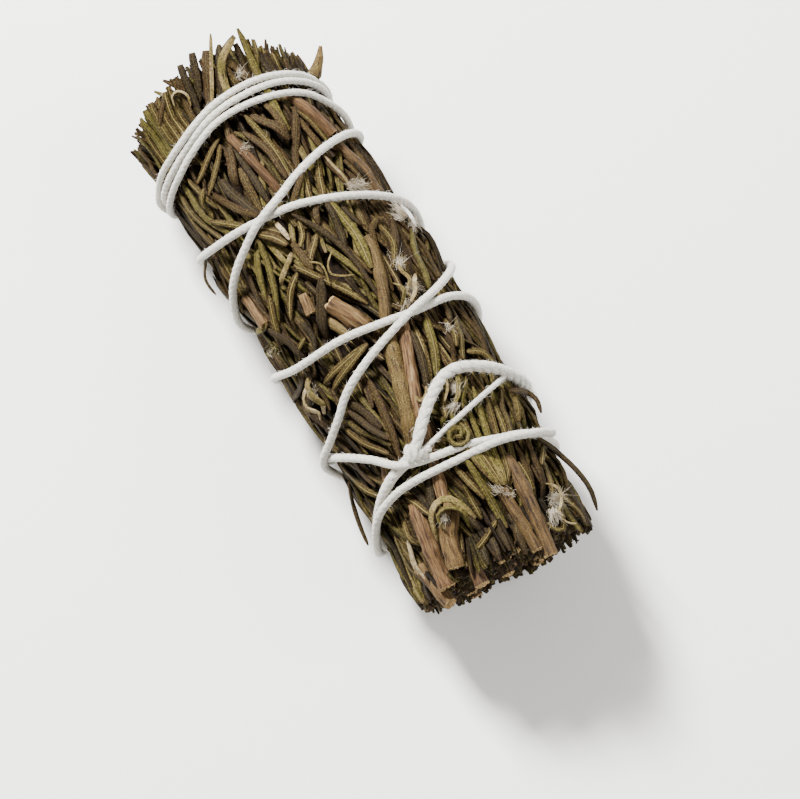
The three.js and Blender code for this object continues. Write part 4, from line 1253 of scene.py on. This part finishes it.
def end_x(end, degrees, radius, short):
    """Where an end of the bundle is, short of its furthest by some millimetres."""
    return snipped_at(degrees, radius) - short if end == CUT_END else tips_at(degrees, radius) + short


def anywhere(random, rim):
    """A random radius and angle within an end face, at a distance from its rim."""
    return math.sqrt(random.random()) * (END_RADIUS - rim), random.uniform(-180, 180)


def add_end_shoots(random, end):
    """Leaves and stems that stand side by side in an end face. Those that find no room are left out."""
    placed = []
    for _ in range(END_TRIES):
        radius, degrees = anywhere(random, 0.5)
        spot = radius * np.array([math.sin(math.radians(degrees)), math.cos(math.radians(degrees))])
        is_stem = random.random() < END_STEM_SHARES[end] and radius < END_RADIUS - 1.5
        size = END_STEM_SIZE if is_stem else SHOOT_SIZE
        if any(np.hypot(*(spot - other)) < (size + other_size) * CLOSEST for other, other_size in placed):
            continue
        if above_floor(degrees, radius, 0.9) < radius:
            continue
        placed.append((spot, size))
        torn = random.uniform(0, END_RAGGEDNESS)
        stop = end_x(end, degrees, radius, torn if end == CUT_END else torn + 0.6)
        start = end * (HALF_LENGTH - END_START)
        sprig = inner_or_outer(degrees, radius)
        t = np.linspace(0, 1, END_STEPS)
        bend = random.normal(0, 0.5, 2)
        r = np.clip(radius + bend[0] * (t - 1), 0.2, END_RADIUS - 0.5)
        if end == LEAFY_END:
            r = r * (1 + END_FLARE * t * t)
        points = place(start + (stop - start) * t, degrees + 7 * bend[1] * (t - 1), r)
        if is_stem:
            add_stem(woods[sprig], random, points, size * random.uniform(0.7, 1.25),
                     random.uniform(0.15, 0.5), 0.3, False, True)
            continue
        outline = np.full(END_STEPS, 1.0)
        outline[-3:] = TIP_TAPERS[end == CUT_END or random.random() < 0.5]
        outline *= random.normal(1, 0.06, END_STEPS)
        tint = float(np.clip(random.normal(END_TINTS[end], 0.18), 0.03, 0.8))
        leaves.append({
            "points": points,
            "lie": lie_along(points, outward(degrees + random.uniform(-180, 180))),
            "girth": outline * random.uniform(0.75, 1.15),
            "along": 0.2 + 0.7 * t,
            "tint": np.full(END_STEPS, tint),
            "rib": np.full(END_STEPS, random.choice([0.0, 0.5])),
            # Painted shade: the deeper a leaf lies inside an end face, the darker it is drawn
            "shade": np.clip(1.0 - 2.4 * (t - 0.5), 0, 1) * 0.9,
            "sprig": sprig,
        })


def add_end_crumbs(random, end):
    """Crumbs that lie between the leaves just under an end face."""
    for _ in range(CRUMB_COUNTS[end]):
        radius, degrees = anywhere(random, 0.8)
        if above_floor(degrees, radius, 1.2) < radius:
            continue
        x = end_x(end, degrees, radius, random.uniform(*CRUMB_DEPTHS))
        tint = random.choice(CRUMB_TINTS, p=CRUMB_TINT_SHARES)
        add_crumb(random, place(x, degrees, radius), inner_or_outer(degrees, radius),
                  CRUMB_SIZE * random.uniform(0.5, 1.3), tint)


end_random = np.random.default_rng(SEED + 11)
for end in (LEAFY_END, CUT_END):
    add_end_shoots(end_random, end)
    add_end_crumbs(end_random, end)

# Curled leaves, strips and strays of the front: colour, width, pale line, roll, and places along and across
# with a height. A roll of 90 sets a strip on its edge.
CURLS = [
    (0.83, 9.0, 0.2, 10, [(82, 122, -0.2), (56, 118, 0.4), (36, 108, 0.6), (24, 87, 0.5)]),
    (0.85, 4.6, 0, 10, [(70, 142, -0.2), (50, 129, 0.3), (30, 117, 0.5), (9, 105, 0.6)]),
    (0.9, 3.0, 0, 30, [(58, 160, 0.1), (48, 157, 0.5), (40, 162, 0.6), (41, 170, 0.5), (50, 174, 0.2)]),
    (0.2, 8.0, 0.2, 20, [(522, 44, 0.0), (545, 37, 0.3), (575, 31, 0.3), (598, 31, 0.4), (618, 37, 0.5)]),
    (0.3, 7.5, 0.2, 20, [(470, 42, 0.0), (480, 32, 0.4), (492, 28, 0.6), (507, 30, 0.5)]),
    (0.4, 8.5, 0.3, 20, [(462, 228, 0.1), (488, 236, 0.3), (508, 242, 0.3), (526, 246, 0.2)]),
    (0.4, 6.0, 0.4, 0, [(196, 232, 0.2), (212, 240, 0.4), (232, 241, 0.1)]),
    (0.86, 2.2, 0, 20, [(258, 117, 0.1), (268, 128, 0.5), (278, 131, 0.6), (286, 123, 0.5), (291, 112, 0.2)]),
    (0.86, 2.0, 0, 10, [(252, 150, 0.0), (262, 136, 0.4), (272, 134, 0.5), (286, 138, 0.1)]),
    (0.86, 8.5, 0.3, 30, [(556, 140, -0.4), (541, 144, 0.9), (528, 151, 1.5), (526, 162, 1.6),
                          (533, 172, 1.3), (546, 179, 0.5), (556, 184, -0.3)]),
    (0.8, 6.5, 0, 50, [(560, 150, -0.2), (546, 146, 1.3), (535, 156, 1.8), (538, 168, 1.6), (553, 168, 1.4)]),
    (0.9, 6.0, 0, 20, [(356, 206, 0.1), (366, 217, 0.6), (378, 219, 0.8), (388, 213, 0.7), (394, 218, 0.3)]),
    (0.86, 9.0, 0, 10, [(352, 208, 0.0), (362, 210, 0.5), (374, 209, 0.5), (384, 206, 0.1)]),
    (0.7, 3.2, 0, 90, [(303, 216, 0.2), (309, 214, 0.5), (315, 218, 0.6), (313, 226, 0.6), (306, 226, 0.5),
                       (303, 219, 0.3)]),
    (0.8, 2.6, 0, 90, [(307, 220, 0.4), (310, 217, 0.6), (312, 221, 0.6), (309, 223, 0.5), (306, 220, 0.4)]),
    (0.66, 7.0, 0.5, 30, [(470, 102, 0.1), (482, 101, 0.7), (490, 109, 0.9), (486, 119, 0.9), (476, 120, 0.8),
                          (471, 111, 0.9), (478, 106, 1.3), (483, 111, 1.3), (479, 114, 1.0)]),
    (0.85, 4.5, 0, 30, [(422, 112, 0.4), (430, 116, 0.9), (432, 124, 0.8), (424, 126, 0.4)]),
    (0.82, 5.5, 0, 20, [(428, 80, 0.2), (436, 84, 0.8), (446, 90, 0.9), (452, 98, 0.4)]),
    (0.8, 4.5, 0, -30, [(434, 72, 0.1), (444, 80, 0.7), (452, 88, 0.6), (460, 92, 0.2)]),
    (0.88, 4.0, 0, 50, [(418, 86, 0.2), (426, 92, 0.7), (436, 96, 0.7), (444, 104, 0.2)]),
    (0.9, 3.2, 0, 40, [(566, 64, 0.2), (576, 60, 0.9), (588, 63, 1.0), (596, 71, 0.6), (592, 78, 0.1)]),
    (0.88, 3.6, 0, -30, [(598, 66, 0.2), (604, 72, 0.9), (612, 69, 1.0), (616, 61, 0.5)]),
    (0.86, 4.2, 0, 20, [(300, 66, 0.0), (312, 72, 0.6), (324, 70, 0.8), (332, 76, 0.3)]),
    (0.9, 5.0, 0, 40, [(322, 60, 0.1), (330, 68, 0.9), (338, 72, 0.9), (344, 80, 0.3)]),
    (0.84, 5.0, 0, -40, [(318, 84, 0.1), (328, 80, 0.9), (336, 84, 1.0), (342, 90, 0.4)]),
    (0.3, 7.0, 0.2, 0, [(34, 172, 0.0), (46, 186, 0.4), (62, 200, 0.3)]),
]

# Tufts of wool on the front: along, across, height, locks, their length, and how they lean along and across
TUFTS = [
    (212, 66, 0.1, 46, 2.6, 0.3, -0.9), (218, 58, 0.0, 26, 2.0, 0.2, -0.6),
    (266, 38, 0.2, 60, 3.0, -0.7, 0.2), (274, 33, 0.1, 30, 2.0, 0.6, 0.3),
    (306, 70, 0.2, 44, 2.2, -0.6, -0.6), (330, 72, 0.3, 50, 1.8, 0.2, -0.4),
    (340, 84, 0.2, 26, 1.5, 0.4, 0.2), (384, 60, 0.0, 18, 1.6, 0.2, -0.2),
    (442, 88, 0.2, 60, 2.2, -0.8, -0.2), (452, 96, 0.2, 40, 1.6, 0.2, 0.6),
    (366, 208, 0.1, 26, 1.6, 0.3, 0.6), (310, 221, 0.1, 16, 1.2, 0.5, 0.4),
    (583, 66, 0.2, 70, 2.6, 0.3, -0.8), (592, 74, 0.4, 50, 2.2, 0.8, 0.1),
    (556, 99, 0.3, 20, 1.3, -0.4, 0.5), (60, 98, 0.2, 26, 1.4, -0.6, 0.1),
    (36, 178, 0.1, 12, 1.1, 0.2, 0.2), (123, 138, 0.0, 22, 1.4, 0.4, -0.4),
    (541, 164, 1.1, 40, 1.0, 0.2, 0.4), (548, 106, 0.4, 24, 1.4, -0.5, 0.3),
]
CURL_STEPS = 11
LOCK_GIRTHS = np.array([1.2, 1, 0.8, 0.6, 0.3])
LOCK_SPREAD = 0.42  # how far from the middle of its tuft a lock of wool starts
hairs = []


def lay_curls():
    """Keeps the curled leaves and strips, which lie where they were read and on no others."""
    for tint, width_steps, rib, roll, route in CURLS:
        line, _ = front_line(route)
        even, _ = evenly(line, line, steps=CURL_STEPS)
        share = np.linspace(0, 1, len(even))
        middle = np.degrees(np.arctan2(even[:, 1] - sway_y(even[:, 0]), even[:, 2] - AXIS_HEIGHT))
        leaves.append({
            "points": even,
            "lie": lie_along(even, outward(middle), roll),
            "girth": np.interp(share, STATIONS, LEAF_OUTLINE) * width_steps * FRONT_STEP / LEAF_WIDTH,
            "along": share,
            "tint": np.full(len(even), tint),
            "rib": np.full(len(even), float(rib)),
            "shade": np.zeros(len(even)),
            "sprig": sector_of(middle.mean()),
        })


def lay_tufts(random):
    """Keeps the tufts' locks, which start near one another and lean together."""
    t = np.linspace(0, 1, len(LOCK_GIRTHS))[:, None]
    for along, across, height, count, length, lean_along, lean_across in TUFTS:
        x, degrees, beyond = front_place(along, across)
        out = outward(degrees)
        lean = np.array([lean_along, 0, 0]) - lean_across * sideways(degrees)
        root = place(x, degrees, leaf_radius(x, degrees) + height + beyond)
        for _ in range(2 * count):
            way = unit(lean * random.uniform(0.8, 1.8) + out * random.uniform(-0.1, 0.3)
                       + random.normal(0, 0.26, 3))
            curl = random.normal(0, 0.6, 3) - out * 0.4
            reach = length * random.uniform(0.3, 1)
            line = root + random.normal(0, LOCK_SPREAD, 3) + reach * (way * t + curl * t * t * 0.7)
            hairs.append({"points": line, "lie": lie_along(line, out), "girth": LOCK_GIRTHS,
                          "sprig": sector_of(degrees)})


lay_curls()
lay_tufts(np.random.default_rng(SEED + 13))

# A dried bud scale that stands off from the upper side near the tips: its route, its half widths, how far it
# is curled round at each edge in radians, and its colour along it
BUD_ROUTE = [(101, 45, -0.6), (98, 39, 0.0), (95, 34, 0), (90, 27, 0), (84, 20, 0), (75, 13, 0)]
BUD_WIDTHS = [0.45, 0.85, 1.25, 0.9, 0.7, 0.3]
BUD_CURL = 2.2
BUD_CORNERS = 11
BUD_THICKNESS = 0.14
BUD_TINTS = ([0, 0.3, 0.6, 1], [0.05, 0.2, 0.45, 0.65])


def add_bud(wood):
    """A scale curled round its hollow middle, so that its edges stand apart on one side."""
    line, _ = front_line(BUD_ROUTE)
    width = np.interp(np.linspace(0, 1, len(line)), np.linspace(0, 1, len(BUD_WIDTHS)), BUD_WIDTHS)
    even, _ = evenly(line, np.column_stack([line, width]), 0.35)
    tangent = unit(np.gradient(even[:, :3], axis=0))
    side = lie_along(even[:, :3], np.tile([0.5, -0.5, 0.7], (len(even), 1)))
    up = np.cross(tangent, side)
    rings = []
    bark_at = []
    for i, (x, y, z, half) in enumerate(even):
        low = -BUD_CURL - 0.3 * math.sin(i * 0.9)
        angle = np.linspace(low, BUD_CURL + 0.4 * math.sin(i * 0.7), BUD_CORNERS)
        outer = np.column_stack([np.cos(angle), np.sin(angle)]) * half
        ring = np.vstack([outer, outer[::-1] * (1 - BUD_THICKNESS / half)])
        rings.append([x, y, z] + ring[:, :1] * side[i] + ring[:, 1:] * up[i])
        bark_at.append(np.column_stack([ring * 0.6, np.full(len(ring), i * 0.03)]))
    tint = np.repeat(np.interp(np.linspace(0, 1, len(even)), *BUD_TINTS), 2 * BUD_CORNERS)
    wood.add(*ring_mesh(rings), BARK, np.vstack(bark_at) + 7, tint, 0.8)


add_bud(woods[sector_of(front_place(95, 34)[1])])

# Each sprig's piece
SPRIG_TREE = sprig_tree()
LEAF_OUTLINE_OBJECT = section_object("leaf_section", LEAF_SECTION)
HAIR_OUTLINE_OBJECT = section_object("hair_section", HAIR_SECTION)


def crumb_object(random):
    """A torn crumb of leaf or bark, one millimetre across."""
    shape = bmesh.new()
    bmesh.ops.create_icosphere(shape, subdivisions=1, radius=0.5 * MM)
    for corner in shape.verts:
        corner.co *= random.uniform(0.6, 1.25)
    mesh = bpy.data.meshes.new("crumb")
    shape.to_mesh(mesh)
    shape.free()
    set_values(mesh, "bark_at", random.uniform(0, 4, (len(mesh.vertices), 3)))
    return bpy.data.objects.new("crumb", mesh)


def crumb_places(name, rows):
    mesh = bpy.data.meshes.new(name)
    mesh.from_pydata([(row["spot"] * MM).tolist() for row in rows], [], [])
    for key in ("turn", "size"):
        set_values(mesh, key, np.array([row[key] for row in rows]).reshape(-1, 3))
    set_values(mesh, "tint", np.array([row["tint"] for row in rows], float))
    return bpy.data.objects.new(name, mesh)


def line_rows(name, rows, keys):
    """A mesh of lines from rows, with the values that each row keeps."""
    if not rows:
        return bpy.data.meshes.new(name)
    return lines_mesh(name, [row["points"] for row in rows],
                      {key: [row[key] for row in rows] for key in keys})


def of_sprig(rows, number):
    return [row for row in rows if row["sprig"] == number]


def triangles(piece):
    return sum(len(face.vertices) - 2 for face in piece.data.polygons)


CRUMB = crumb_object(np.random.default_rng(SEED + 17))
for i in range(OUTER_SPRIGS + INNER_SPRIGS):
    node = f"rosemary_sprig_{i + 1:02d}"
    own = of_sprig(leaves, i)
    wood = woods[i].piece(f"wood_{i + 1:02d}")
    woolly = line_rows(node + "_wool", of_sprig(hairs, i), ("lie", "girth"))
    wool = bpy.data.objects.new(f"wool_{i + 1:02d}", woolly)
    strewn = crumb_places(f"crumbs_{i + 1:02d}", of_sprig(crumbs, i))
    maker = new_object(f"maker_{i + 1:02d}", line_rows(
        node + "_lines", own, ("lie", "girth", "along", "tint", "rib", "shade")))
    give_modifier(maker, SPRIG_TREE, {
        "Leaf section": LEAF_OUTLINE_OBJECT, "Leaf width": LEAF_WIDTH * MM, "Leaf material": LEAF,
        "Hairs": wool, "Hair section": HAIR_OUTLINE_OBJECT, "Hair width": HAIR_WIDTH * MM,
        "Hair material": WOOL,
        "Crumb places": strewn, "Crumb": CRUMB, "Crumb material": BARK, "Wood": wood})
    sprig = plain_piece(f"dried_sprig_{i + 1:02d}", maker)
    for spare in (wood, wool, strewn):
        bpy.data.objects.remove(spare)
    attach(sprig, "root")
    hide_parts(node)
    print(sprig.name, "leaves", len(own), "triangles", triangles(sprig))


# The string
CROSSING_GAP = 1.25  # how far apart the middles of two strands are kept where they cross
NEXT_TURN = 25  # steps along the string before it can cross itself
CROSSING_SOFTNESS = 1.5
STRING_BED = 0.12
HUMP_SHARE = 0.75  # of a crossing, the upper strand's rise, and the lower strand's dip
DIP_SHARE = 0.3


def over_and_under():
    """How far each point of the string is raised where it passes over an earlier turn, or lowered under a
    later one, in millimetres."""
    gap = np.linalg.norm(string_places[:, None] - string_places[None], axis=-1)
    order = np.arange(len(string_places))
    later = order[:, None] - order[None] > NEXT_TURN
    needed = np.sqrt(np.clip(CROSSING_GAP**2 - gap**2, 0, None))
    window = np.exp(-0.5 * (np.arange(-9, 10) * ROUTE_STEP / CROSSING_SOFTNESS) ** 2)
    humps = []
    for where in (later, later.T):
        height = np.where(where, needed, 0).max(1)
        widened = np.max([np.roll(height, s) for s in (-2, -1, 0, 1, 2)], axis=0)
        humps.append(np.convolve(widened, window / window.sum(), mode="same"))
    return humps


def string_line():
    """The string's middle line. On the underside it is the crossed strand that gives way, not the floor."""
    over, under = over_and_under()
    x, degrees, _ = string_turns.T
    down = np.clip(-np.cos(np.radians(degrees)) * 2 - 0.6, 0, 1)
    wanted = string_radius(x, degrees) - STRING_BED + over * HUMP_SHARE * (1 - down)
    wanted = wanted - under * (DIP_SHARE + (1 - DIP_SHARE) * down)
    return place(x, degrees, above_floor(degrees, wanted, STRING_FLOOR_GAP + STRING_RADIUS - 0.05))


PLIES = 3
PLY_CORNERS = 8


def string_tree():
    """Twists three plies round a line into a string, and adds the fibres that stand off it."""
    tree, given = new_geometry_tree("twisted_string", {
        "Ply offset": "Float", "Ply girth": "Float", "Lay length": "Float", "Fuzz": "Object",
        "Fuzz section": "Object", "Fuzz width": "Float", "Material": "Material"})
    give = given.outputs
    girth = add_node(tree, "GeometryNodeInputNamedAttribute", {"Name": "girth"}, data_type="FLOAT")
    line = add_node(tree, "GeometryNodeMeshToCurve", {"Mesh": give["Geometry"]})
    reach = add_node(tree, "GeometryNodeSplineParameter", take="Length")
    line = add_node(tree, "GeometryNodeStoreNamedAttribute", {
        "Geometry": line, "Name": "reach", "Value": reach}, data_type="FLOAT")
    normal = add_node(tree, "GeometryNodeInputNormal")
    tangent = add_node(tree, "GeometryNodeInputTangent")
    beside = add_node(tree, "ShaderNodeVectorMath", {0: tangent, 1: normal}, operation="CROSS_PRODUCT")
    turns = add_node(tree, "ShaderNodeMath", {0: reach, 1: give["Lay length"]}, operation="DIVIDE")
    circle = add_node(tree, "GeometryNodeCurvePrimitiveCircle", {"Resolution": PLY_CORNERS, "Radius": 1.0})
    corner = add_node(tree, "GeometryNodeInputIndex")
    around = add_node(tree, "ShaderNodeMath", {0: corner, 1: 2 * math.pi / PLY_CORNERS}, operation="MULTIPLY")
    circle = add_node(tree, "GeometryNodeStoreNamedAttribute", {
        "Geometry": circle, "Name": "around", "Value": around}, data_type="FLOAT")
    offset = add_node(tree, "ShaderNodeMath", {0: girth, 1: give["Ply offset"]}, operation="MULTIPLY")
    thick = add_node(tree, "ShaderNodeMath", {0: girth, 1: give["Ply girth"]}, operation="MULTIPLY")
    whole = add_node(tree, "GeometryNodeJoinGeometry")
    for ply in range(PLIES):
        angle = add_node(tree, "ShaderNodeMath", {0: turns, 1: 2 * math.pi, 2: ply * 2 * math.pi / PLIES},
                         operation="MULTIPLY_ADD")
        ways = []
        for way, wave in ((normal, "COSINE"), (beside, "SINE")):
            share = add_node(tree, "ShaderNodeMath", {0: angle}, operation=wave)
            ways.append(add_node(tree, "ShaderNodeVectorMath", {0: way, "Scale": share}, operation="SCALE"))
        sideways = add_node(tree, "ShaderNodeVectorMath", {0: ways[0], 1: ways[1]}, operation="ADD")
        shift = add_node(tree, "ShaderNodeVectorMath", {0: sideways, "Scale": offset}, operation="SCALE")
        wound = add_node(tree, "GeometryNodeSetPosition", {"Geometry": line, "Offset": shift})
        swept = add_node(tree, "GeometryNodeCurveToMesh", {
            "Curve": wound, "Profile Curve": circle, "Scale": thick, "Fill Caps": True})
        tree.links.new(swept, whole.node.inputs[0])
    smooth = add_node(tree, "GeometryNodeSetShadeSmooth", {"Geometry": whole})
    plies = add_node(tree, "GeometryNodeSetMaterial", {"Geometry": smooth, "Material": give["Material"]})
    fuzz = add_node(tree, "GeometryNodeObjectInfo", {"Object": give["Fuzz"]}, "Geometry")
    fibres = add_sweep(tree, fuzz, give["Fuzz section"], give["Fuzz width"], give["Material"])
    fuzzy = add_node(tree, "GeometryNodeJoinGeometry")
    for part in (plies, fibres):
        tree.links.new(part, fuzzy.node.inputs[0])
    real = add_node(tree, "GeometryNodeRealizeInstances", {"Geometry": fuzzy})
    add_node(tree, "NodeGroupOutput", {0: real})
    return tree


STRING_TREE = string_tree()
FUZZ_WIDTH = 0.06  # a few fibres together, as single ones are too fine to show
FUZZ_SPACING = 0.2
FUZZ_GIRTHS = np.array([1.0, 0.8, 0.4])
FRAY_GIRTHS = np.array([2.4, 1.8, 1.2, 0.5])


def fuzz_rows(random, lines, radius, longest):
    """Loose fibres that stand off lines of string."""
    t = np.linspace(0, 1, len(FUZZ_GIRTHS))[:, None]
    rows = []
    for line in lines:
        even, _ = evenly(line, line, FUZZ_SPACING)
        for point, along in zip(even, unit(np.gradient(even, axis=0))):
            way = unit(np.cross(along, random.normal(0, 1, 3)))
            long = longest * random.uniform(0.25, 1) ** 1.5
            slant = along * random.normal(0, 0.8) + np.cross(along, way) * random.normal(0, 0.6)
            points = point + way * radius * 0.8 + long * (way * t * (1 - 0.4 * t) + slant * t * t)
            points[:, 2] = np.maximum(points[:, 2], 0.05)
            rows.append({"points": points, "lie": np.tile(np.cross(along, way), (len(t), 1)),
                         "girth": FUZZ_GIRTHS})
    return rows


def frayed_rows(random, end, way, radius, count, longest):
    """The fibres of a string's loose end."""
    t = np.linspace(0, 1, len(FRAY_GIRTHS))[:, None]
    rows = []
    for _ in range(count):
        spread = unit(way + random.normal(0, 0.42, 3))
        long = longest * random.uniform(0.3, 1)
        root = end + random.normal(0, radius * 0.42, 3)
        points = root + long * (spread * t + random.normal(0, 0.25, 3) * t * t)
        rows.append({"points": points, "lie": lie_along(points, np.tile([0.2, 0.3, 0.9], (len(t), 1))),
                     "girth": FRAY_GIRTHS})
    return rows


def twisted_string(name, lines, girths, radius, softness, lay_length, fuzz):
    """A three-ply string along lines. Softness says how far its plies sink into each other."""
    maker = new_object(name + "_maker", lines_mesh(name + "_line", lines, {"girth": girths}))
    loose = bpy.data.objects.new(name + "_fuzz", line_rows(name + "_fuzz", fuzz, ("lie", "girth")))
    give_modifier(maker, STRING_TREE, {
        "Ply offset": radius * (1 - softness) * MM, "Ply girth": radius * softness * MM,
        "Lay length": lay_length * MM, "Fuzz": loose, "Fuzz section": HAIR_OUTLINE_OBJECT,
        "Fuzz width": FUZZ_WIDTH * MM, "Material": COTTON})
    piece = plain_piece(name, maker)
    bpy.data.objects.remove(loose)
    return piece


# The string's girth: what it gains where it leaves the knot, over a length, and what is left of it in the
# turns round the leafy end and in the last stretch
LOOSE_GIRTH = 0.55
LOOSE_LENGTH = 15
LEAFY_GIRTH = 0.86
LEAFY_TURNS_TO = -35
LAST_GIRTH = 0.66
LAST_LENGTH = 22


def pulled_girth():
    """The girth along the string: loose and thick where it leaves the knot, and pulled thin in the turns
    round the leafy end and in its last stretch."""
    girth = LEAFY_GIRTH + (1 - LEAFY_GIRTH) * np.clip((string_turns[:, 0] - LEAFY_TURNS_TO) / 5, 0, 1)
    done = np.arange(len(string_turns)) * ROUTE_STEP
    girth = girth + LOOSE_GIRTH * np.clip(1 - done / LOOSE_LENGTH, 0, 1)
    return girth * (LAST_GIRTH + (1 - LAST_GIRTH) * np.clip((done[-1] - done - LAST_LENGTH) / 12, 0, 1))


def tail_line():
    """The tails, twisted into one soft strand that arches from the knot over the upper side."""
    turns, _ = wound_route(TAIL_ROUTE, ROUTE_STEP)
    return string_place(*turns.T)


KNOT_LIFT = 0.55
BAR_HALF_LENGTH, BAR_BEND, BAR_SIDE = 2.7, 0.7, 0.3
LOOP_TURNS, LOOP_HALF_LENGTH, LOOP_HALF_WIDTH, LOOP_HALF_HEIGHT = 2.2, 1.3, 1.15, 0.8


def knot_lines():
    """The knot: one strand as a bent bar, and the other looped round it and pulled tight."""
    x, degrees = KNOT
    out = outward(degrees)
    centre = string_place(x, degrees, KNOT_LIFT)
    along = sideways(degrees) + (0.1, 0, 0)
    side = np.cross(along, out)
    share = np.linspace(-1, 1, 60)[:, None]
    bar = centre + along * share * BAR_HALF_LENGTH - out * share**2 * BAR_BEND + side * BAR_SIDE
    turn = (share + 1) * LOOP_TURNS * math.pi
    loops = centre + along * (share * LOOP_HALF_LENGTH + 0.5)
    loops = loops + side * np.cos(turn) * LOOP_HALF_WIDTH + out * (np.sin(turn) * LOOP_HALF_HEIGHT + 0.1)
    return [bar, loops]


WOUND_SOFTNESS, TAIL_SOFTNESS = 0.8, 0.7
WOUND_LAY, TAIL_LAY = 3.8, 5.4
TAIL_RADIUS = 1.0
TAIL_SWELL = ([0, 0.08, 0.9, 1], [0.75, 1, 1.02, 0.8])  # the girth of the twisted tails along them
KNOT_GIRTH = 0.66
LOOSE_POINTS = 40  # how much of the string beside the knot is fuzzier
FUZZ_LENGTH, TAIL_FUZZ_LENGTH, FRAY_LENGTH = 0.8, 0.9, 2.4
FRAY_COUNT = 90

fuzz_random = np.random.default_rng(SEED + 19)
main_line = string_line()
wound_fuzz = fuzz_rows(fuzz_random, [main_line] + [main_line[:LOOSE_POINTS]] * 3, STRING_RADIUS, FUZZ_LENGTH)
wound = twisted_string("cotton_string_wound", [main_line], [pulled_girth()], STRING_RADIUS, WOUND_SOFTNESS,
                       WOUND_LAY, wound_fuzz)
tail = tail_line()
tail_girths = np.interp(np.linspace(0, 1, len(tail)), *TAIL_SWELL)
knot = knot_lines()
tail_fuzz = fuzz_rows(fuzz_random, [tail] * 4, TAIL_RADIUS, TAIL_FUZZ_LENGTH)
tail_fuzz += fuzz_rows(fuzz_random, knot * 3, 0.6, TAIL_FUZZ_LENGTH)
tail_fuzz += frayed_rows(fuzz_random, tail[-1], unit(tail[-1] - tail[-4]), TAIL_RADIUS, FRAY_COUNT,
                         FRAY_LENGTH)
tails = twisted_string("cotton_string_tails", [tail] + knot,
                       [tail_girths] + [np.full(len(line), KNOT_GIRTH) for line in knot],
                       TAIL_RADIUS, TAIL_SOFTNESS, TAIL_LAY, tail_fuzz)
for piece in (wound, tails):
    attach(piece, "root")
    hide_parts("cotton_string")
    print(piece.name, "triangles", triangles(piece))
print("string length", round(string_length, 1))


# The studio, in metres
FLOOR_HALF = 1.5
LAMPS = [("key", (-0.42, -0.06, 0.5), 0.14, 21), ("fill", (0.4, 0.5, 0.45), 0.5, 5)]
LIT_POINT = Vector((0, 0, 0.016))


def studio():
    mesh = bpy.data.meshes.new("floor")
    corners = [(x * FLOOR_HALF, y * FLOOR_HALF, 0) for x, y in ((-1, -1), (1, -1), (1, 1), (-1, 1))]
    mesh.from_pydata(corners, [], [(0, 1, 2, 3)])
    floor = new_object("floor", mesh)
    material, tree, shader = new_material("pale_floor")
    set_inputs(tree, shader, {"Base Color": linear("#f1f0ed"), "Roughness": 0.9})
    mesh.materials.append(material)

    world = bpy.data.worlds.new("studio")
    world.use_nodes = True
    set_inputs(world.node_tree, world.node_tree.nodes["Background"], {
        "Color": linear("#faf8f4"), "Strength": 0.62})
    bpy.context.scene.world = world
    for name, spot, size, power in LAMPS:
        light = bpy.data.lights.new(name, "AREA")
        light.energy = power
        light.size = size
        lamp = bpy.data.objects.new(name, light)
        lamp.location = spot
        lamp.rotation_euler = (LIT_POINT - Vector(spot)).to_track_quat("-Z", "Y").to_euler()
        bpy.context.scene.collection.objects.link(lamp)


# The camera looks down on the bundle as the picture does: its cut end is at the lower right
VIEW = Vector((0.2315, -0.1414, 0.9625)).normalized()
VIEW_DISTANCE = 0.8
VIEW_TARGET = (0.01182, -0.00066, 0.01306)
VIEW_LENS = 220.8
SENSOR_WIDTH = 36


def camera():
    lens = bpy.data.cameras.new("camera")
    lens.lens = VIEW_LENS
    lens.sensor_width = SENSOR_WIDTH
    holder = bpy.data.objects.new("camera", lens)
    holder.location = Vector(VIEW_TARGET) + VIEW * VIEW_DISTANCE
    holder.rotation_euler = (-VIEW).to_track_quat("-Z", "Y").to_euler()
    bpy.context.scene.collection.objects.link(holder)
    bpy.context.scene.camera = holder


studio()
camera()
